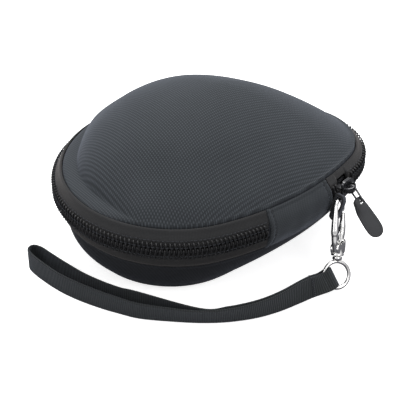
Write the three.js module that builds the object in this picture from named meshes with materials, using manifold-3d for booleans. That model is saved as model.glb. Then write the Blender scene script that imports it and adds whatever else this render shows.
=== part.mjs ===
// Zipped hard-shell carrying case with a wrist strap on a swivel clasp.
// Millimetres, +Z up. The origin is the centre of the round end's big arc, on the
// flat underside of the base. +X runs towards the narrow end (the tip). The hinge
// panel, slider, clasp and strap are all on the -Y side.
import * as THREE from 'three';
import Module from 'manifold-3d';
import { mergeVertices } from 'three/addons/utils/BufferGeometryUtils.js';

// ---- outline at the rim groove: four tangent arcs ----
const ROUND_R = 59.74; // round end, centred on the origin
const TIP_R = 32.07; // narrow end
const TIP_X = 66.23; // centre of the narrow end's arc
const SIDE_R = 146.69; // the two long sides

// ---- heights ----
const RIM_Z = 49.5; // rim groove
const BASE_Z = 23.93; // top of the curved base wall
const BASE_EDGE_Z = 25.9; // top edge of the base
const DOME_H = 43.83; // top of the lid above the rim groove
const APEX_X = 17.64; // middle of the dome

// ---- lid and base faces; pairs are [round end, narrow end] ----
const DOME_N = [1.66, 1.42]; // exponents of the dome curve
const DOME_M = [1.77, 1.1];
const FLANGE_W = [7.69, 1.5]; // flange between the dome and the rim groove
const FLANGE_H = 2.0;
const DOME_FOOT = 0.6; // least height of the dome above the flange
const LID_EDGE_IN = 0.15;
const BASE_IN_TOP = 1.02; // inset of the base wall at its top, half way down and at its foot
const BASE_IN_MID = [3.59, 11.41];
const BASE_IN_FOOT = [15.24, 26.98];
const BASE_EDGE_IN = 0.2;

// ---- layers, measured inwards from the outer face ----
const COVER = [0, 0.8];
const LID_FOAM = [1.1, 4.1];
const LID_LINING = [4.6, 5.4];
const BASE_FOAM = [1.1, 3.3];
const BASE_LINING = [4.1, 4.8];

// ---- zip band: depths are below the rim groove, IN and OUT are outward offsets ----
const SPLIT_ROUND = 9.9; // depth of the chain's centre line along the round end
const SPLIT_TIP = 7.6; // and round the narrow end
const CHAIN_GAP = 1.3; // left open between the two rows
const ROW_H = 4.15;
const TAPE_IN = 3.1;
const TAPE_OUT = 4.05;
const ROW_IN = 4.4;
const ROW_OUT = 6.15;
const BAND_BOTTOM = 23.2; // depth near the lower tape's lower edge
const WALK_STEP = 4.2; // degrees per step on the hinge side

// ---- hinge panel, in degrees on the side arc ----
const PANEL_START = -74.7;
const PANEL_END = -58.5;
const SEAM_GAP = 0.35; // mm between panel and zip
const FOLD_DEPTH = 7.0;
const FOLD_CUT = 0.2; // each half stops this far from the fold

// ---- slider and pull ----
const SLIDER_DEG = -54.2;
const NOTCH_HALF = 5.4; // mm along the chain
const PULL_DEG = 46; // the pull's tilt from straight out
const BAR_Z = 10.35; // centre of the wire's inner bend, outwards from the rim

// ---- webbing loop, clasp and ring ----
const LOOP_DEG = -57.35;
const LOOP_OFF = 6.65;
const LOOP_TOP_Z = 41.9;
const LOOP_W = 4.4;
const LOOP_LEN = 13.6;
const RING_CENTRE = [65.6, -66.1, 8.2]; // aimed at; the built ring is on the clasp's axis
const RING_R = 6.85;
const RING_WIRE_R = 0.95;
const RING_TURN = -45; // the ring turned on its post, degrees
const HOOK_R = 4.55; // middle of the hook's arch
const HOOK_HALF_W = 0.95;
const CLASP_T = 4.2; // thickness of the hook's base
const HOOK_BASE_Y = 9.9; // underside of the hook's base, above the ring centre
const PIN_X = 3.4;
const PIN_Y = HOOK_BASE_Y + 6.7;
const PIN_R = 0.55;
const PIN_HOLE_R = 0.75;

// ---- wrist strap ----
const STRAP_T = 1.05;
const STRAP_W = 12.5;
const FOLD_W = 10.6; // strap width at the ring
const FOLD_AT = 30; // where the strap sits on the ring, degrees round from its side
const FOLD_START = 1.0; // first section stops this far short of the ring's wire
const FOLD_REACH = 5.3; // the fold passes this far beyond the wire, into the ring
const FOLD_BEND = 1.3;
const FOLD_GAP = 2.35; // half the gap between the two layers: at the fold,
const STITCH_GAP = 1.15; // at the stitch,
const LAYER_GAP = 0.7; // and elsewhere
const STITCH_RISE = 0.45; // middle of the stitch bar above the outer face

const MATERIALS = {
  lidFabric: { color: 0x4a4e55, roughness: 0.85 },
  baseFabric: { color: 0x34373b, roughness: 0.85 },
  foam: { color: 0x2b2d30, roughness: 0.9 },
  lining: { color: 0x1d1e20, roughness: 0.95 },
  binding: { color: 0x232427, roughness: 0.9 },
  zipTape: { color: 0x303235, roughness: 0.8 },
  zipRow: { color: 0x1b1c1e, roughness: 0.45 },
  hingeFabric: { color: 0x3c4043, roughness: 0.85 },
  slider: { color: 0x2f3135, roughness: 0.35, metalness: 0.6 },
  pullWire: { color: 0x1c1d1f, roughness: 0.4, metalness: 0.5 },
  pullRubber: { color: 0x3d3f43, roughness: 0.8 },
  loopWebbing: { color: 0x26272a, roughness: 0.9 },
  polishedMetal: { color: 0xc9c8c4, roughness: 0.2, metalness: 1 },
  gateMetal: { color: 0xd4d3cf, roughness: 0.2, metalness: 1 },
  pinMetal: { color: 0xb9b8b4, roughness: 0.3, metalness: 1 },
  springMetal: { color: 0x9a9995, roughness: 0.3, metalness: 1 },
  strapWebbing: { color: 0x3b3f40, roughness: 0.9 },
  thread: { color: 0x1d1e20, roughness: 0.9 },
};

const rad = (degrees) => (degrees * Math.PI) / 180;
const deg = (radians) => (radians * 180) / Math.PI;
const vec = (x, y, z) => new THREE.Vector3(x, y, z);
const lerp = (a, b, t) => a + (b - a) * t;
const cross = (a, b) => a.clone().cross(b);
const minus = (a, b) => a.clone().sub(b);
const plus = (a, b, scale = 1) => a.clone().addScaledVector(b, scale);
const smooth = (t) => {
  const c = THREE.MathUtils.clamp(t, 0, 1);
  return c * c * (3 - 2 * c);
};

const wasm = await Module();
wasm.setup();

// ---- stations round the outline ----
// centre of the hinge side's arc is (SIDE_X, +SIDE_Y); the far side mirrors it
const ROUND_TO_SIDE = SIDE_R - ROUND_R;
const TIP_TO_SIDE = SIDE_R - TIP_R;
const SIDE_X = (ROUND_TO_SIDE ** 2 - TIP_TO_SIDE ** 2 + TIP_X ** 2) / (2 * TIP_X);
const SIDE_Y = Math.sqrt(ROUND_TO_SIDE ** 2 - SIDE_X ** 2);
// degrees where the side arc meets the two ends
const MEET_ROUND = deg(Math.atan2(-SIDE_Y, -SIDE_X));
const MEET_TIP = deg(Math.atan2(-SIDE_Y, TIP_X - SIDE_X));

const ARCS = {
  hingeSide: { cx: SIDE_X, cy: SIDE_Y, r: SIDE_R, turn: 1 },
  tip: { cx: TIP_X, cy: 0, r: TIP_R, turn: 1 },
  farSide: { cx: SIDE_X, cy: -SIDE_Y, r: SIDE_R, turn: -1 },
  round: { cx: 0, cy: 0, r: ROUND_R, turn: 1 },
};

function station(arc, degrees) {
  return { ...ARCS[arc], arc, degrees, angle: rad(ARCS[arc].turn * degrees) };
}

const outwardAt = (s) => vec(Math.cos(s.angle), Math.sin(s.angle), 0);
const pointAt = (s, offset, z) => plus(vec(s.cx, s.cy, z), outwardAt(s), s.r + offset);

function span(arc, from, to, steps) {
  return Array.from({ length: steps + 1 }, (_, i) => station(arc, lerp(from, to, i / steps)));
}

// the narrow end, the far side and the round end, after a station at MEET_TIP
function roundTheFarSide(tipSteps, sideSteps, roundSteps) {
  return [
    ...span('tip', MEET_TIP, -MEET_TIP, tipSteps).slice(1),
    ...span('farSide', MEET_TIP, MEET_ROUND, sideSteps).slice(1),
    ...span('round', -MEET_ROUND, 360 + MEET_ROUND, roundSteps).slice(1),
  ];
}

// anticlockwise from one place on the hinge side, all the way round, to another
function walk(from, to) {
  const steps = (a, b) => Math.max(1, Math.round((b - a) / WALK_STEP));
  return [
    ...span('hingeSide', from, MEET_TIP, steps(from, MEET_TIP)),
    ...roundTheFarSide(11, 6, 15),
    ...span('hingeSide', MEET_ROUND, to, steps(MEET_ROUND, to)).slice(1),
  ];
}

// the whole outline as a closed loop
const outline = [
  ...span('hingeSide', MEET_ROUND, MEET_TIP, 9),
  ...roundTheFarSide(10, 9, 14).slice(0, -1),
];

// ---- mesh helpers ----
function geometryOf(vertices, triangles) {
  const g = new THREE.BufferGeometry();
  const flat = vertices.flatMap((p) => [p.x, p.y, p.z]);
  g.setAttribute('position', new THREE.Float32BufferAttribute(flat, 3));
  g.setIndex(triangles.flat());
  return g;
}

function flip(index, face) {
  const second = index[face * 3 + 1];
  index[face * 3 + 1] = index[face * 3 + 2];
  index[face * 3 + 2] = second;
}

function signedVolume(g) {
  const position = g.getAttribute('position');
  const index = g.getIndex().array;
  const corner = (k) => vec(0, 0, 0).fromBufferAttribute(position, index[k]);
  let volume = 0;
  for (let k = 0; k < index.length; k += 3) {
    volume += corner(k).dot(corner(k + 1).cross(corner(k + 2)));
  }
  return volume;
}

// make every triangle agree with its neighbours, then face out
function fixWinding(g) {
  const index = g.getIndex().array;
  const faces = index.length / 3;
  const edge = (face, e) => [index[face * 3 + e], index[face * 3 + ((e + 1) % 3)]];
  const keyOf = ([a, b]) => (a < b ? `${a}_${b}` : `${b}_${a}`);
  const facesAt = new Map();
  for (let face = 0; face < faces; face++) {
    for (let e = 0; e < 3; e++) {
      const key = keyOf(edge(face, e));
      if (!facesAt.has(key)) facesAt.set(key, []);
      facesAt.get(key).push(face);
    }
  }
  const seen = new Uint8Array(faces);
  const stack = [0];
  seen[0] = 1;
  while (stack.length) {
    const face = stack.pop();
    for (let e = 0; e < 3; e++) {
      const [a, b] = edge(face, e);
      for (const other of facesAt.get(keyOf([a, b]))) {
        if (seen[other]) continue;
        const sameWay = [0, 1, 2].some((q) => {
          const [c, d] = edge(other, q);
          return c === a && d === b;
        });
        if (sameWay) flip(index, other);
        seen[other] = 1;
        stack.push(other);
      }
    }
  }
  if (signedVolume(g) < 0) {
    for (let face = 0; face < faces; face++) flip(index, face);
  }
  return g;
}

// unit normal of a flat loop of points
function loopNormal(points) {
  const sum = vec(0, 0, 0);
  for (let i = 1; i + 1 < points.length; i++) {
    sum.add(cross(minus(points[i], points[0]), minus(points[i + 1], points[0])));
  }
  return sum.normalize();
}

// triangles filling a flat loop, laid out in its own plane
function capTriangles(ring, firstIndex) {
  const u = minus(ring[1], ring[0]).normalize();
  const w = cross(loopNormal(ring), u);
  const flat = ring.map((p) => {
    const d = minus(p, ring[0]);
    return new THREE.Vector2(d.dot(u), d.dot(w));
  });
  return THREE.ShapeUtils.triangulateShape(flat, []).map((f) => f.map((k) => firstIndex + k));
}

// skin over rings of equal length; closed joins the last ring to the first, else both are capped
function loft(rings, closed = false) {
  const size = rings[0].length;
  const count = rings.length;
  const triangles = [];
  for (let i = 0; i < (closed ? count : count - 1); i++) {
    const a = i * size;
    const b = ((i + 1) % count) * size;
    for (let k = 0; k < size; k++) {
      const next = (k + 1) % size;
      triangles.push([a + k, b + k, b + next], [a + k, b + next, a + next]);
    }
  }
  if (!closed) {
    triangles.push(...capTriangles(rings[0], 0));
    triangles.push(...capTriangles(rings[count - 1], (count - 1) * size));
  }
  return fixWinding(geometryOf(rings.flat(), triangles));
}

// sweep a profile of [outward offset, depth below the rim groove] along the stations
function band(stations, profileAt, closed = false) {
  const ringAt = (s) => profileAt(s).map(([offset, depth]) => pointAt(s, offset, RIM_Z - depth));
  return loft(stations.map(ringAt), closed);
}

// round wire along a flat closed loop of points
function wireLoop(points, radius, sides) {
  const count = points.length;
  const normal = loopNormal(points);
  const rings = points.map((p, i) => {
    const tangent = minus(points[(i + 1) % count], points[(i - 1 + count) % count]).normalize();
    const side = cross(tangent, normal);
    return Array.from({ length: sides }, (_, k) => {
      const a = (2 * Math.PI * (k + 0.5)) / sides;
      return plus(plus(p, normal, radius * Math.cos(a)), side, radius * Math.sin(a));
    });
  });
  return loft(rings, true);
}

// the outline extruded along z, centred on the given z
function extrude(points, depth, z = 0, hole = null) {
  const toVectors = (list) => list.map(([x, y]) => new THREE.Vector2(x, y));
  const shape = new THREE.Shape(toVectors(points));
  if (hole) shape.holes.push(new THREE.Path(toVectors(hole)));
  const g = new THREE.ExtrudeGeometry(shape, { depth, bevelEnabled: false });
  return g.translate(0, 0, z - depth / 2);
}

// a cylinder along y
function cylinder(topR, bottomR, height, sides, y) {
  return new THREE.CylinderGeometry(topR, bottomR, height, sides).translate(0, y, 0);
}

function arcPoints(cx, cy, r, from, to, steps) {
  return Array.from({ length: steps + 1 }, (_, i) => {
    const a = rad(lerp(from, to, i / steps));
    return [cx + r * Math.cos(a), cy + r * Math.sin(a)];
  });
}

function roundRect(w, h, r, steps) {
  const corners = [[1, 1, 0], [-1, 1, 90], [-1, -1, 180], [1, -1, 270]];
  return corners.flatMap(([sx, sy, from]) =>
    arcPoints(sx * (w / 2 - r), sy * (h / 2 - r), r, from, from + 90, steps));
}

function bareMesh(g) {
  g.deleteAttribute('normal');
  g.deleteAttribute('uv');
  return mergeVertices(g, 1e-4);
}

function solid(g) {
  const bare = bareMesh(g);
  return new wasm.Manifold(new wasm.Mesh({
    numProp: 3,
    vertProperties: new Float32Array(bare.getAttribute('position').array),
    triVerts: new Uint32Array(bare.getIndex().array),
  }));
}

function fromSolid(manifold) {
  const mesh = manifold.getMesh();
  const g = new THREE.BufferGeometry();
  g.setAttribute('position', new THREE.BufferAttribute(new Float32Array(mesh.vertProperties), 3));
  g.setIndex(new THREE.BufferAttribute(new Uint32Array(mesh.triVerts), 1));
  return g;
}

const union = (...geometries) => geometries.map(solid).reduce((a, b) => a.add(b));
const frame = (origin, x, y, z) => new THREE.Matrix4().makeBasis(x, y, z).setPosition(origin);

const parts = new THREE.Group();
parts.name = 'carrying_case';

function add(name, g, material) {
  const mesh = new THREE.Mesh(bareMesh(g), new THREE.MeshStandardMaterial(material));
  mesh.name = name;
  parts.add(mesh);
}

// ---- lid and base layers ----
// ray from the dome's middle to the rim, and how far round towards the tip it points (0 to 1)
function rimRay(s) {
  const rim = pointAt(s, 0, 0);
  const ray = vec(rim.x - APEX_X, rim.y, 0);
  const length = ray.length();
  const pointOnRay = (inset, z, fraction = 1) => {
    const u = fraction * (1 - inset / length);
    return vec(APEX_X + u * ray.x, u * ray.y, z);
  };
  return { pointOnRay, tipward: (1 + ray.x / length) / 2 };
}

function domeColumn(s) {
  const { pointOnRay, tipward } = rimRay(s);
  const blend = ([round, tip]) => lerp(round, tip, Math.pow(tipward, 1.5));
  const flange = blend(FLANGE_W);
  const n = blend(DOME_N);
  const m = blend(DOME_M);
  const fractions = [0.14, 0.3, 0.45, 0.58, 0.69, 0.78, 0.855, 0.91, 0.955, 0.985];
  const dome = fractions.map((w) => {
    const curve = DOME_H * Math.pow(1 - Math.pow(w, n), 1 / m);
    return pointOnRay(flange, RIM_Z + Math.max(curve, FLANGE_H + DOME_FOOT), w);
  });
  return [...dome, pointOnRay(flange, RIM_Z + FLANGE_H), pointOnRay(LID_EDGE_IN, RIM_Z)];
}

function baseColumn(s) {
  const { pointOnRay, tipward } = rimRay(s);
  const mid = lerp(...BASE_IN_MID, tipward);
  const foot = lerp(...BASE_IN_FOOT, tipward);
  const floor = [0.33, 0.72].map((fraction) => pointOnRay(foot, 0, fraction));
  // the inset is the parabola through its top, middle and foot values; a = 1 at the foot
  const wall = [1, 0.93, 0.8, 0.62, 0.42, 0.2, 0].map((a) => {
    const inset = BASE_IN_TOP * (1 - a) * (1 - 2 * a) + 4 * mid * a * (1 - a)
      + foot * a * (2 * a - 1);
    return pointOnRay(inset, BASE_Z * (1 - a));
  });
  return [...floor, ...wall, pointOnRay(BASE_EDGE_IN, BASE_EDGE_Z)];
}

// a dished layer between two inward offsets of one outer face;
// edgeNormal is [outward, up] at the rim
function layer(face, offsets) {
  const { columns, centre, centreNormal, edgeNormal } = face;
  const n = columns.length;
  const m = columns[0].length;
  const wrap = (i) => (i + n) % n;
  const middle = vec(APEX_X, 0, (RIM_Z + BASE_Z) / 2);
  const point = (i, k) => columns[wrap(i)][k];
  const normalAt = (i, k) => {
    if (k === m - 1) {
      const edge = outwardAt(outline[i]).multiplyScalar(edgeNormal[0]);
      return edge.setZ(edgeNormal[1]).normalize();
    }
    const round = minus(point(i + 1, k), point(i - 1, k));
    const along = minus(point(i, k + 1), k ? point(i, k - 1) : centre);
    const normal = along.cross(round).normalize();
    return normal.dot(minus(point(i, k), middle)) < 0 ? normal.negate() : normal;
  };
  const vertices = [];
  for (const offset of offsets) {
    vertices.push(plus(centre, centreNormal, -offset));
    for (let i = 0; i < n; i++) {
      for (let k = 0; k < m; k++) vertices.push(plus(point(i, k), normalAt(i, k), -offset));
    }
  }
  const middleId = (side) => side * (1 + n * m);
  const id = (side, i, k) => middleId(side) + 1 + wrap(i) * m + k;
  const triangles = [];
  for (const side of [0, 1]) {
    for (let i = 0; i < n; i++) {
      triangles.push([middleId(side), id(side, i, 0), id(side, i + 1, 0)]);
      for (let k = 0; k + 1 < m; k++) {
        const far = id(side, i + 1, k + 1);
        triangles.push([id(side, i, k), id(side, i, k + 1), far]);
        triangles.push([id(side, i, k), far, id(side, i + 1, k)]);
      }
    }
  }
  for (let i = 0; i < n; i++) {
    const far = id(1, i + 1, m - 1);
    triangles.push([id(0, i, m - 1), id(1, i, m - 1), far]);
    triangles.push([id(0, i, m - 1), far, id(0, i + 1, m - 1)]);
  }
  return fixWinding(geometryOf(vertices, triangles));
}

function buildShells() {
  const lid = {
    columns: outline.map(domeColumn),
    centre: vec(APEX_X, 0, RIM_Z + DOME_H),
    centreNormal: vec(0, 0, 1),
    edgeNormal: [0.75, 0.66],
  };
  const base = {
    columns: outline.map(baseColumn),
    centre: vec(APEX_X, 0, 0),
    centreNormal: vec(0, 0, -1),
    edgeNormal: [1, 0],
  };
  add('lid_cover', layer(lid, COVER), MATERIALS.lidFabric);
  add('lid_shell', layer(lid, LID_FOAM), MATERIALS.foam);
  add('lid_lining', layer(lid, LID_LINING), MATERIALS.lining);
  add('base_cover', layer(base, COVER), MATERIALS.baseFabric);
  add('base_shell', layer(base, BASE_FOAM), MATERIALS.foam);
  add('base_lining', layer(base, BASE_LINING), MATERIALS.lining);
}

function buildBindings() {
  const lidProfile = [[-0.4, 0.75], [0.0, 1.35], [-3.1, 4.25], [-3.75, 3.75]];
  const top = RIM_Z - 26.95;
  const bottom = RIM_Z - 27.6;
  const baseProfile = [[-0.75, top], [-0.75, bottom], [-5.2, bottom], [-5.2, top]];
  add('lid_binding', band(outline, () => lidProfile, true), MATERIALS.binding);
  add('base_binding', band(outline, () => baseProfile, true), MATERIALS.binding);
}

// ---- zip ----
// chain depth: shallow round the narrow end and at the hinge's tipward seam, deeper
// round the round end
function splitDepth(s) {
  if (s.arc === 'tip') return SPLIT_TIP;
  if (s.arc === 'round') return SPLIT_ROUND;
  if (s.arc === 'hingeSide') {
    return s.degrees > (PANEL_START + PANEL_END) / 2 ? SPLIT_TIP : SPLIT_ROUND;
  }
  const t = (MEET_TIP - s.degrees) / (MEET_TIP - MEET_ROUND);
  return lerp(SPLIT_TIP, SPLIT_ROUND, smooth(t));
}

// [outward offset, distance from the chain gap] of one row
const ROW_PROFILE = [
  [ROW_IN, 0], [ROW_OUT, 0], [ROW_OUT, ROW_H - 1.0], [ROW_OUT - 0.5, ROW_H - 0.1],
  [ROW_IN, ROW_H - 0.25],
];

function upperRow(s) {
  const low = splitDepth(s) - CHAIN_GAP / 2;
  return ROW_PROFILE.map(([offset, rise]) => [offset, low - rise]).reverse();
}

function lowerRow(s) {
  const top = splitDepth(s) + CHAIN_GAP / 2;
  return ROW_PROFILE.map(([offset, drop]) => [offset, top + drop]);
}

function upperTape(s) {
  const low = splitDepth(s) - CHAIN_GAP / 2;
  const top = low - ROW_H;
  return [
    [0.35, 0.05], [2.2, top * 0.5], [TAPE_OUT - 0.2, top - 0.1], [TAPE_OUT, low],
    [TAPE_IN, low], [TAPE_IN - 0.1, top + 0.5], [1.4, top * 0.5 + 1.1], [0.45, 1.5],
  ];
}

// the upper tape cut short behind the slider
const NOTCH_TAPE = [
  [0.35, 0.05], [1.3, 1.0], [2.6, 2.6], [2.7, 2.9], [1.8, 3.1], [1.7, 2.9], [1.0, 2.3], [0.45, 1.5],
];

function lowerTape(s) {
  const top = splitDepth(s) + CHAIN_GAP / 2;
  const low = top + ROW_H;
  return [
    [TAPE_OUT, top], [TAPE_OUT, low + 0.4], [3.7, low + 2.2], [0.65, BAND_BOTTOM - 0.2],
    [-0.3, BAND_BOTTOM - 0.4], [2.7, low + 2.0], [TAPE_IN, low + 0.2], [TAPE_IN, top],
  ];
}

function buildZip() {
  const degPerMm = deg(1 / SIDE_R);
  const notchStart = SLIDER_DEG - NOTCH_HALF * degPerMm;
  const notchEnd = SLIDER_DEG + NOTCH_HALF * degPerMm;
  const notchStep = 0.02; // degrees over which the tape drops into the notch
  const zipStart = PANEL_END + SEAM_GAP * degPerMm;
  const zipEnd = PANEL_START - SEAM_GAP * degPerMm;
  const notch = span('hingeSide', notchStart + notchStep, notchEnd - notchStep, 2);
  const afterNotch = walk(notchEnd, zipEnd);
  const tapeStations = [...span('hingeSide', zipStart, notchStart, 1), ...notch, ...afterNotch];
  const tapeAt = (s) => (notch.includes(s) ? NOTCH_TAPE : upperTape(s));
  const stub = span('hingeSide', zipStart, notchStart, 2);
  const wholeZip = walk(zipStart, zipEnd);
  add('zip_tape_upper', band(tapeStations, tapeAt), MATERIALS.zipTape);
  add('zip_row_upper', band(afterNotch, upperRow), MATERIALS.zipRow);
  add('zip_row_upper_end', band(stub, upperRow), MATERIALS.zipRow);
  add('zip_row_lower', band(wholeZip, lowerRow), MATERIALS.zipRow);
  add('zip_tape_lower', band(wholeZip, lowerTape), MATERIALS.zipTape);
}

// ---- hinge panel and its lining, cut at the fold ----
function buildHinge() {
  const above = FOLD_DEPTH - FOLD_CUT;
  const below = FOLD_DEPTH + FOLD_CUT;
  // [outward offset, depth]
  const panelUpper = [
    [0.35, 0.05], [2.6, 2.1], [4.7, 4.6], [5.8, above], [4.55, above], [3.7, 5.2], [1.9, 3.2],
    [0.45, 1.5],
  ];
  const panelLower = [
    [5.85, below], [6.2, 9.6], [6.05, 12.2], [5.1, 16.2], [0.6, 23.6], [-0.4, 23.2],
    [3.9, 15.8], [4.8, 12.1], [4.95, 9.8], [4.6, below],
  ];
  const liningUpper = [
    [1.7, 3.75], [3.3, 5.6], [4.15, above], [3.4, above], [2.6, 5.9], [1.1, 4.2],
  ];
  const liningLower = [
    [4.2, below], [4.5, 9.9], [4.4, 12.0], [3.5, 15.6], [0.6, 20.6], [-0.2, 20.2],
    [2.8, 15.3], [3.7, 11.9], [3.8, 10.0], [3.5, below],
  ];
  const stations = span('hingeSide', PANEL_START, PANEL_END, 6);
  add('hinge_panel_upper', band(stations, () => panelUpper), MATERIALS.hingeFabric);
  add('hinge_panel_lower', band(stations, () => panelLower), MATERIALS.hingeFabric);
  add('hinge_lining_upper', band(stations, () => liningUpper), MATERIALS.lining);
  add('hinge_lining_lower', band(stations, () => liningLower), MATERIALS.lining);
}

// ---- slider frame: x along the chain towards the tip, y up, z outwards ----
const sliderStation = station('hingeSide', SLIDER_DEG);
const sliderOut = outwardAt(sliderStation);
const sliderFrame = frame(
  pointAt(sliderStation, 0, RIM_Z - SPLIT_TIP),
  vec(-sliderOut.y, sliderOut.x, 0),
  vec(0, 0, 1),
  sliderOut,
);

// two plates joined by a thin web between the rows, with a bridge for the pull
function buildSlider() {
  const plate = [
    [-4.7, 3.0], [-4.2, 3.9], [-3.0, 4.4], [0.5, 4.2], [3.4, 3.2], [4.5, 2.0], [4.7, 0],
    [4.5, -2.0], [3.4, -3.2], [0.5, -4.2], [-2.6, -4.4], [-3.9, -3.6], [-4.7, -2.4],
  ];
  const outer = extrude(plate, 1.1, 7.15);
  const inner = extrude(plate.map(([x, y]) => [x * 0.96, Math.min(y, 2.7)]), 0.9, 2.1);
  const web = extrude([[-4.0, 0.33], [-4.0, -0.33], [-0.6, -0.33], [-0.6, 0.33]], 5.0, 4.7);
  // [along the chain, outwards]
  const bridge = extrude([
    [-3.3, 7.2], [-3.3, 9.2], [-2.6, 10.5], [-1.4, 11.1], [1.4, 11.1], [2.6, 10.5],
    [3.3, 9.2], [3.3, 7.2], [2.0, 7.2], [2.0, 8.6], [1.5, 9.3], [0.9, 9.6],
    [-0.9, 9.6], [-1.5, 9.3], [-2.0, 8.6], [-2.0, 7.2],
  ], 1.6).rotateX(Math.PI / 2);
  const g = fromSolid(union(outer, inner, web, bridge));
  // the band curves away along the chain
  const bendR = SIDE_R + 6;
  const position = g.getAttribute('position');
  for (let i = 0; i < position.count; i++) {
    position.setZ(i, position.getZ(i) - position.getX(i) ** 2 / (2 * bendR));
  }
  add('slider_body', g.applyMatrix4(sliderFrame), MATERIALS.slider);
}

// pull frame: x along the pull, outwards and down; y along the chain
function buildPull() {
  const tilt = rad(PULL_DEG);
  const pullFrame = sliderFrame.clone().multiply(frame(
    vec(0, 0, BAR_Z),
    vec(0, -Math.sin(tilt), Math.cos(tilt)),
    vec(1, 0, 0),
    vec(0, Math.cos(tilt), Math.sin(tilt)),
  ));
  // one bend round the bridge, the other through the tab's hole
  const wirePath = [
    ...arcPoints(0, 0, 1.9, 90, 270, 6),
    ...arcPoints(6.4, 0, 1.7, -90, 90, 6),
  ].map(([x, z]) => vec(x, 0, z));
  add('pull_wire', wireLoop(wirePath, 0.5, 6).applyMatrix4(pullFrame), MATERIALS.pullWire);

  const tab = [
    [5.4, -2.0], [5.4, 2.0], [6.4, 2.9], [9.5, 3.4], [14, 3.9], [20, 4.2], [24.5, 4.1],
    [27, 3.2], [28.2, 1.6], [28.4, 0], [28.2, -1.6], [27, -3.2], [24.5, -4.1],
    [20, -4.2], [14, -3.9], [9.5, -3.4], [6.4, -2.9],
  ];
  const hole = [[7.0, -1.6], [9.3, -1.6], [9.3, 1.6], [7.0, 1.6]];
  add('pull_tab', extrude(tab, 1.7, 0, hole).applyMatrix4(pullFrame), MATERIALS.pullRubber);
}

// ---- hanging directions of the webbing loop and clasp ----
const claspAcross = vec(0.672, 0.54, -0.506).normalize(); // from the spine to the gate
const loopDown = plus(vec(0, 0, -1), claspAcross, claspAcross.z).normalize();
const loopOut = cross(loopDown, claspAcross).normalize();
const loopTop = pointAt(station('hingeSide', LOOP_DEG), LOOP_OFF, LOOP_TOP_Z);

// flat ring of webbing round the top of the hook
function buildLanyardLoop() {
  const end = LOOP_LEN;
  // [outwards, down]
  const outer = [
    [0, 0], [0, end - 2.2], [0.6, end - 0.9], [1.6, end - 0.2], [2.25, end], [2.9, end - 0.2],
    [3.9, end - 0.9], [4.6, end - 2.2], [5.25, 6], [5.25, 2.6], [4.4, 0.7], [3.2, 0],
  ];
  const inner = [
    [1.05, 1.05], [3.0, 1.05], [3.7, 1.5], [4.2, 2.8], [4.2, 6], [3.55, end - 2.4],
    [3.1, end - 1.6], [2.25, end - 1.1], [1.4, end - 1.6], [1.05, end - 2.4],
  ];
  const g = extrude(outer, LOOP_W, 0, inner);
  g.applyMatrix4(frame(loopTop, loopOut, loopDown, cross(loopOut, loopDown)));
  add('lanyard_loop', g, MATERIALS.loopWebbing);
}

// ---- clasp frame: origin at the ring's centre, x from spine to gate, y up the clasp ----
const hookTop = plus(plus(loopTop, loopOut, 2.3), loopDown, 2.6); // middle of the arch's bar
const ringToHook = minus(hookTop, vec(...RING_CENTRE));
const claspUp = ringToHook.clone().normalize();
claspUp.addScaledVector(claspAcross, -claspUp.dot(claspAcross)).normalize();
const claspThrough = cross(claspAcross, claspUp);
const claspReach = ringToHook.dot(claspUp); // from the ring's centre to the top of the hook
const claspOrigin = plus(hookTop, claspUp, -claspReach);
const claspFrame = frame(claspOrigin, claspAcross, claspUp, claspThrough);
const ARCH_Y = claspReach - HOOK_R;

const addToClasp = (name, g, material) => add(name, g.applyMatrix4(claspFrame), material);

function gatePin(radius, length) {
  const g = new THREE.CylinderGeometry(radius, radius, length, 10);
  return g.rotateX(Math.PI / 2).translate(PIN_X, PIN_Y, 0);
}

function buildHook() {
  const y = HOOK_BASE_Y;
  // spine, arch and tip in one outline
  const hook = extrude([
    [-4.9, y + 4.6], [-5.7, ARCH_Y - 12], [-5.65, ARCH_Y - 6],
    ...arcPoints(0, ARCH_Y, HOOK_R + HOOK_HALF_W, 180, 8, 10),
    [5.35, ARCH_Y - 1.3], [3.7, ARCH_Y - 1.5],
    ...arcPoints(0, ARCH_Y, HOOK_R - HOOK_HALF_W, 8, 180, 8),
    [-3.6, ARCH_Y - 6], [-3.4, ARCH_Y - 12], [-2.4, y + 7.4], [-2.4, y + 4.6],
  ], 1.8);
  const base = extrude([
    [-3.1, y], [3.1, y], [4.7, y + 2.0], [5.3, y + 4.6], [5.3, y + 8.3], [4.2, y + 9.0],
    [-3.6, y + 9.0], [-4.9, y + 4.6], [-4.6, y + 2.0],
  ], CLASP_T);
  const fork = extrude([[0.2, y + 4.9], [6, y + 4.9], [6, y + 9.6], [-2.0, y + 9.6]], 2.3);
  const window = extrude([[-2.2, y + 1.5], [2.2, y + 1.5], [2.2, y + 3.7], [-2.2, y + 3.7]], 6);
  const postHole = cylinder(1.25, 1.25, 4, 12, y);
  const body = union(hook, base)
    .subtract(solid(fork))
    .subtract(solid(window))
    .subtract(solid(postHole))
    .subtract(solid(gatePin(PIN_HOLE_R, 8)));
  addToClasp('clasp_hook', fromSolid(body), MATERIALS.polishedMetal);
}

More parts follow.
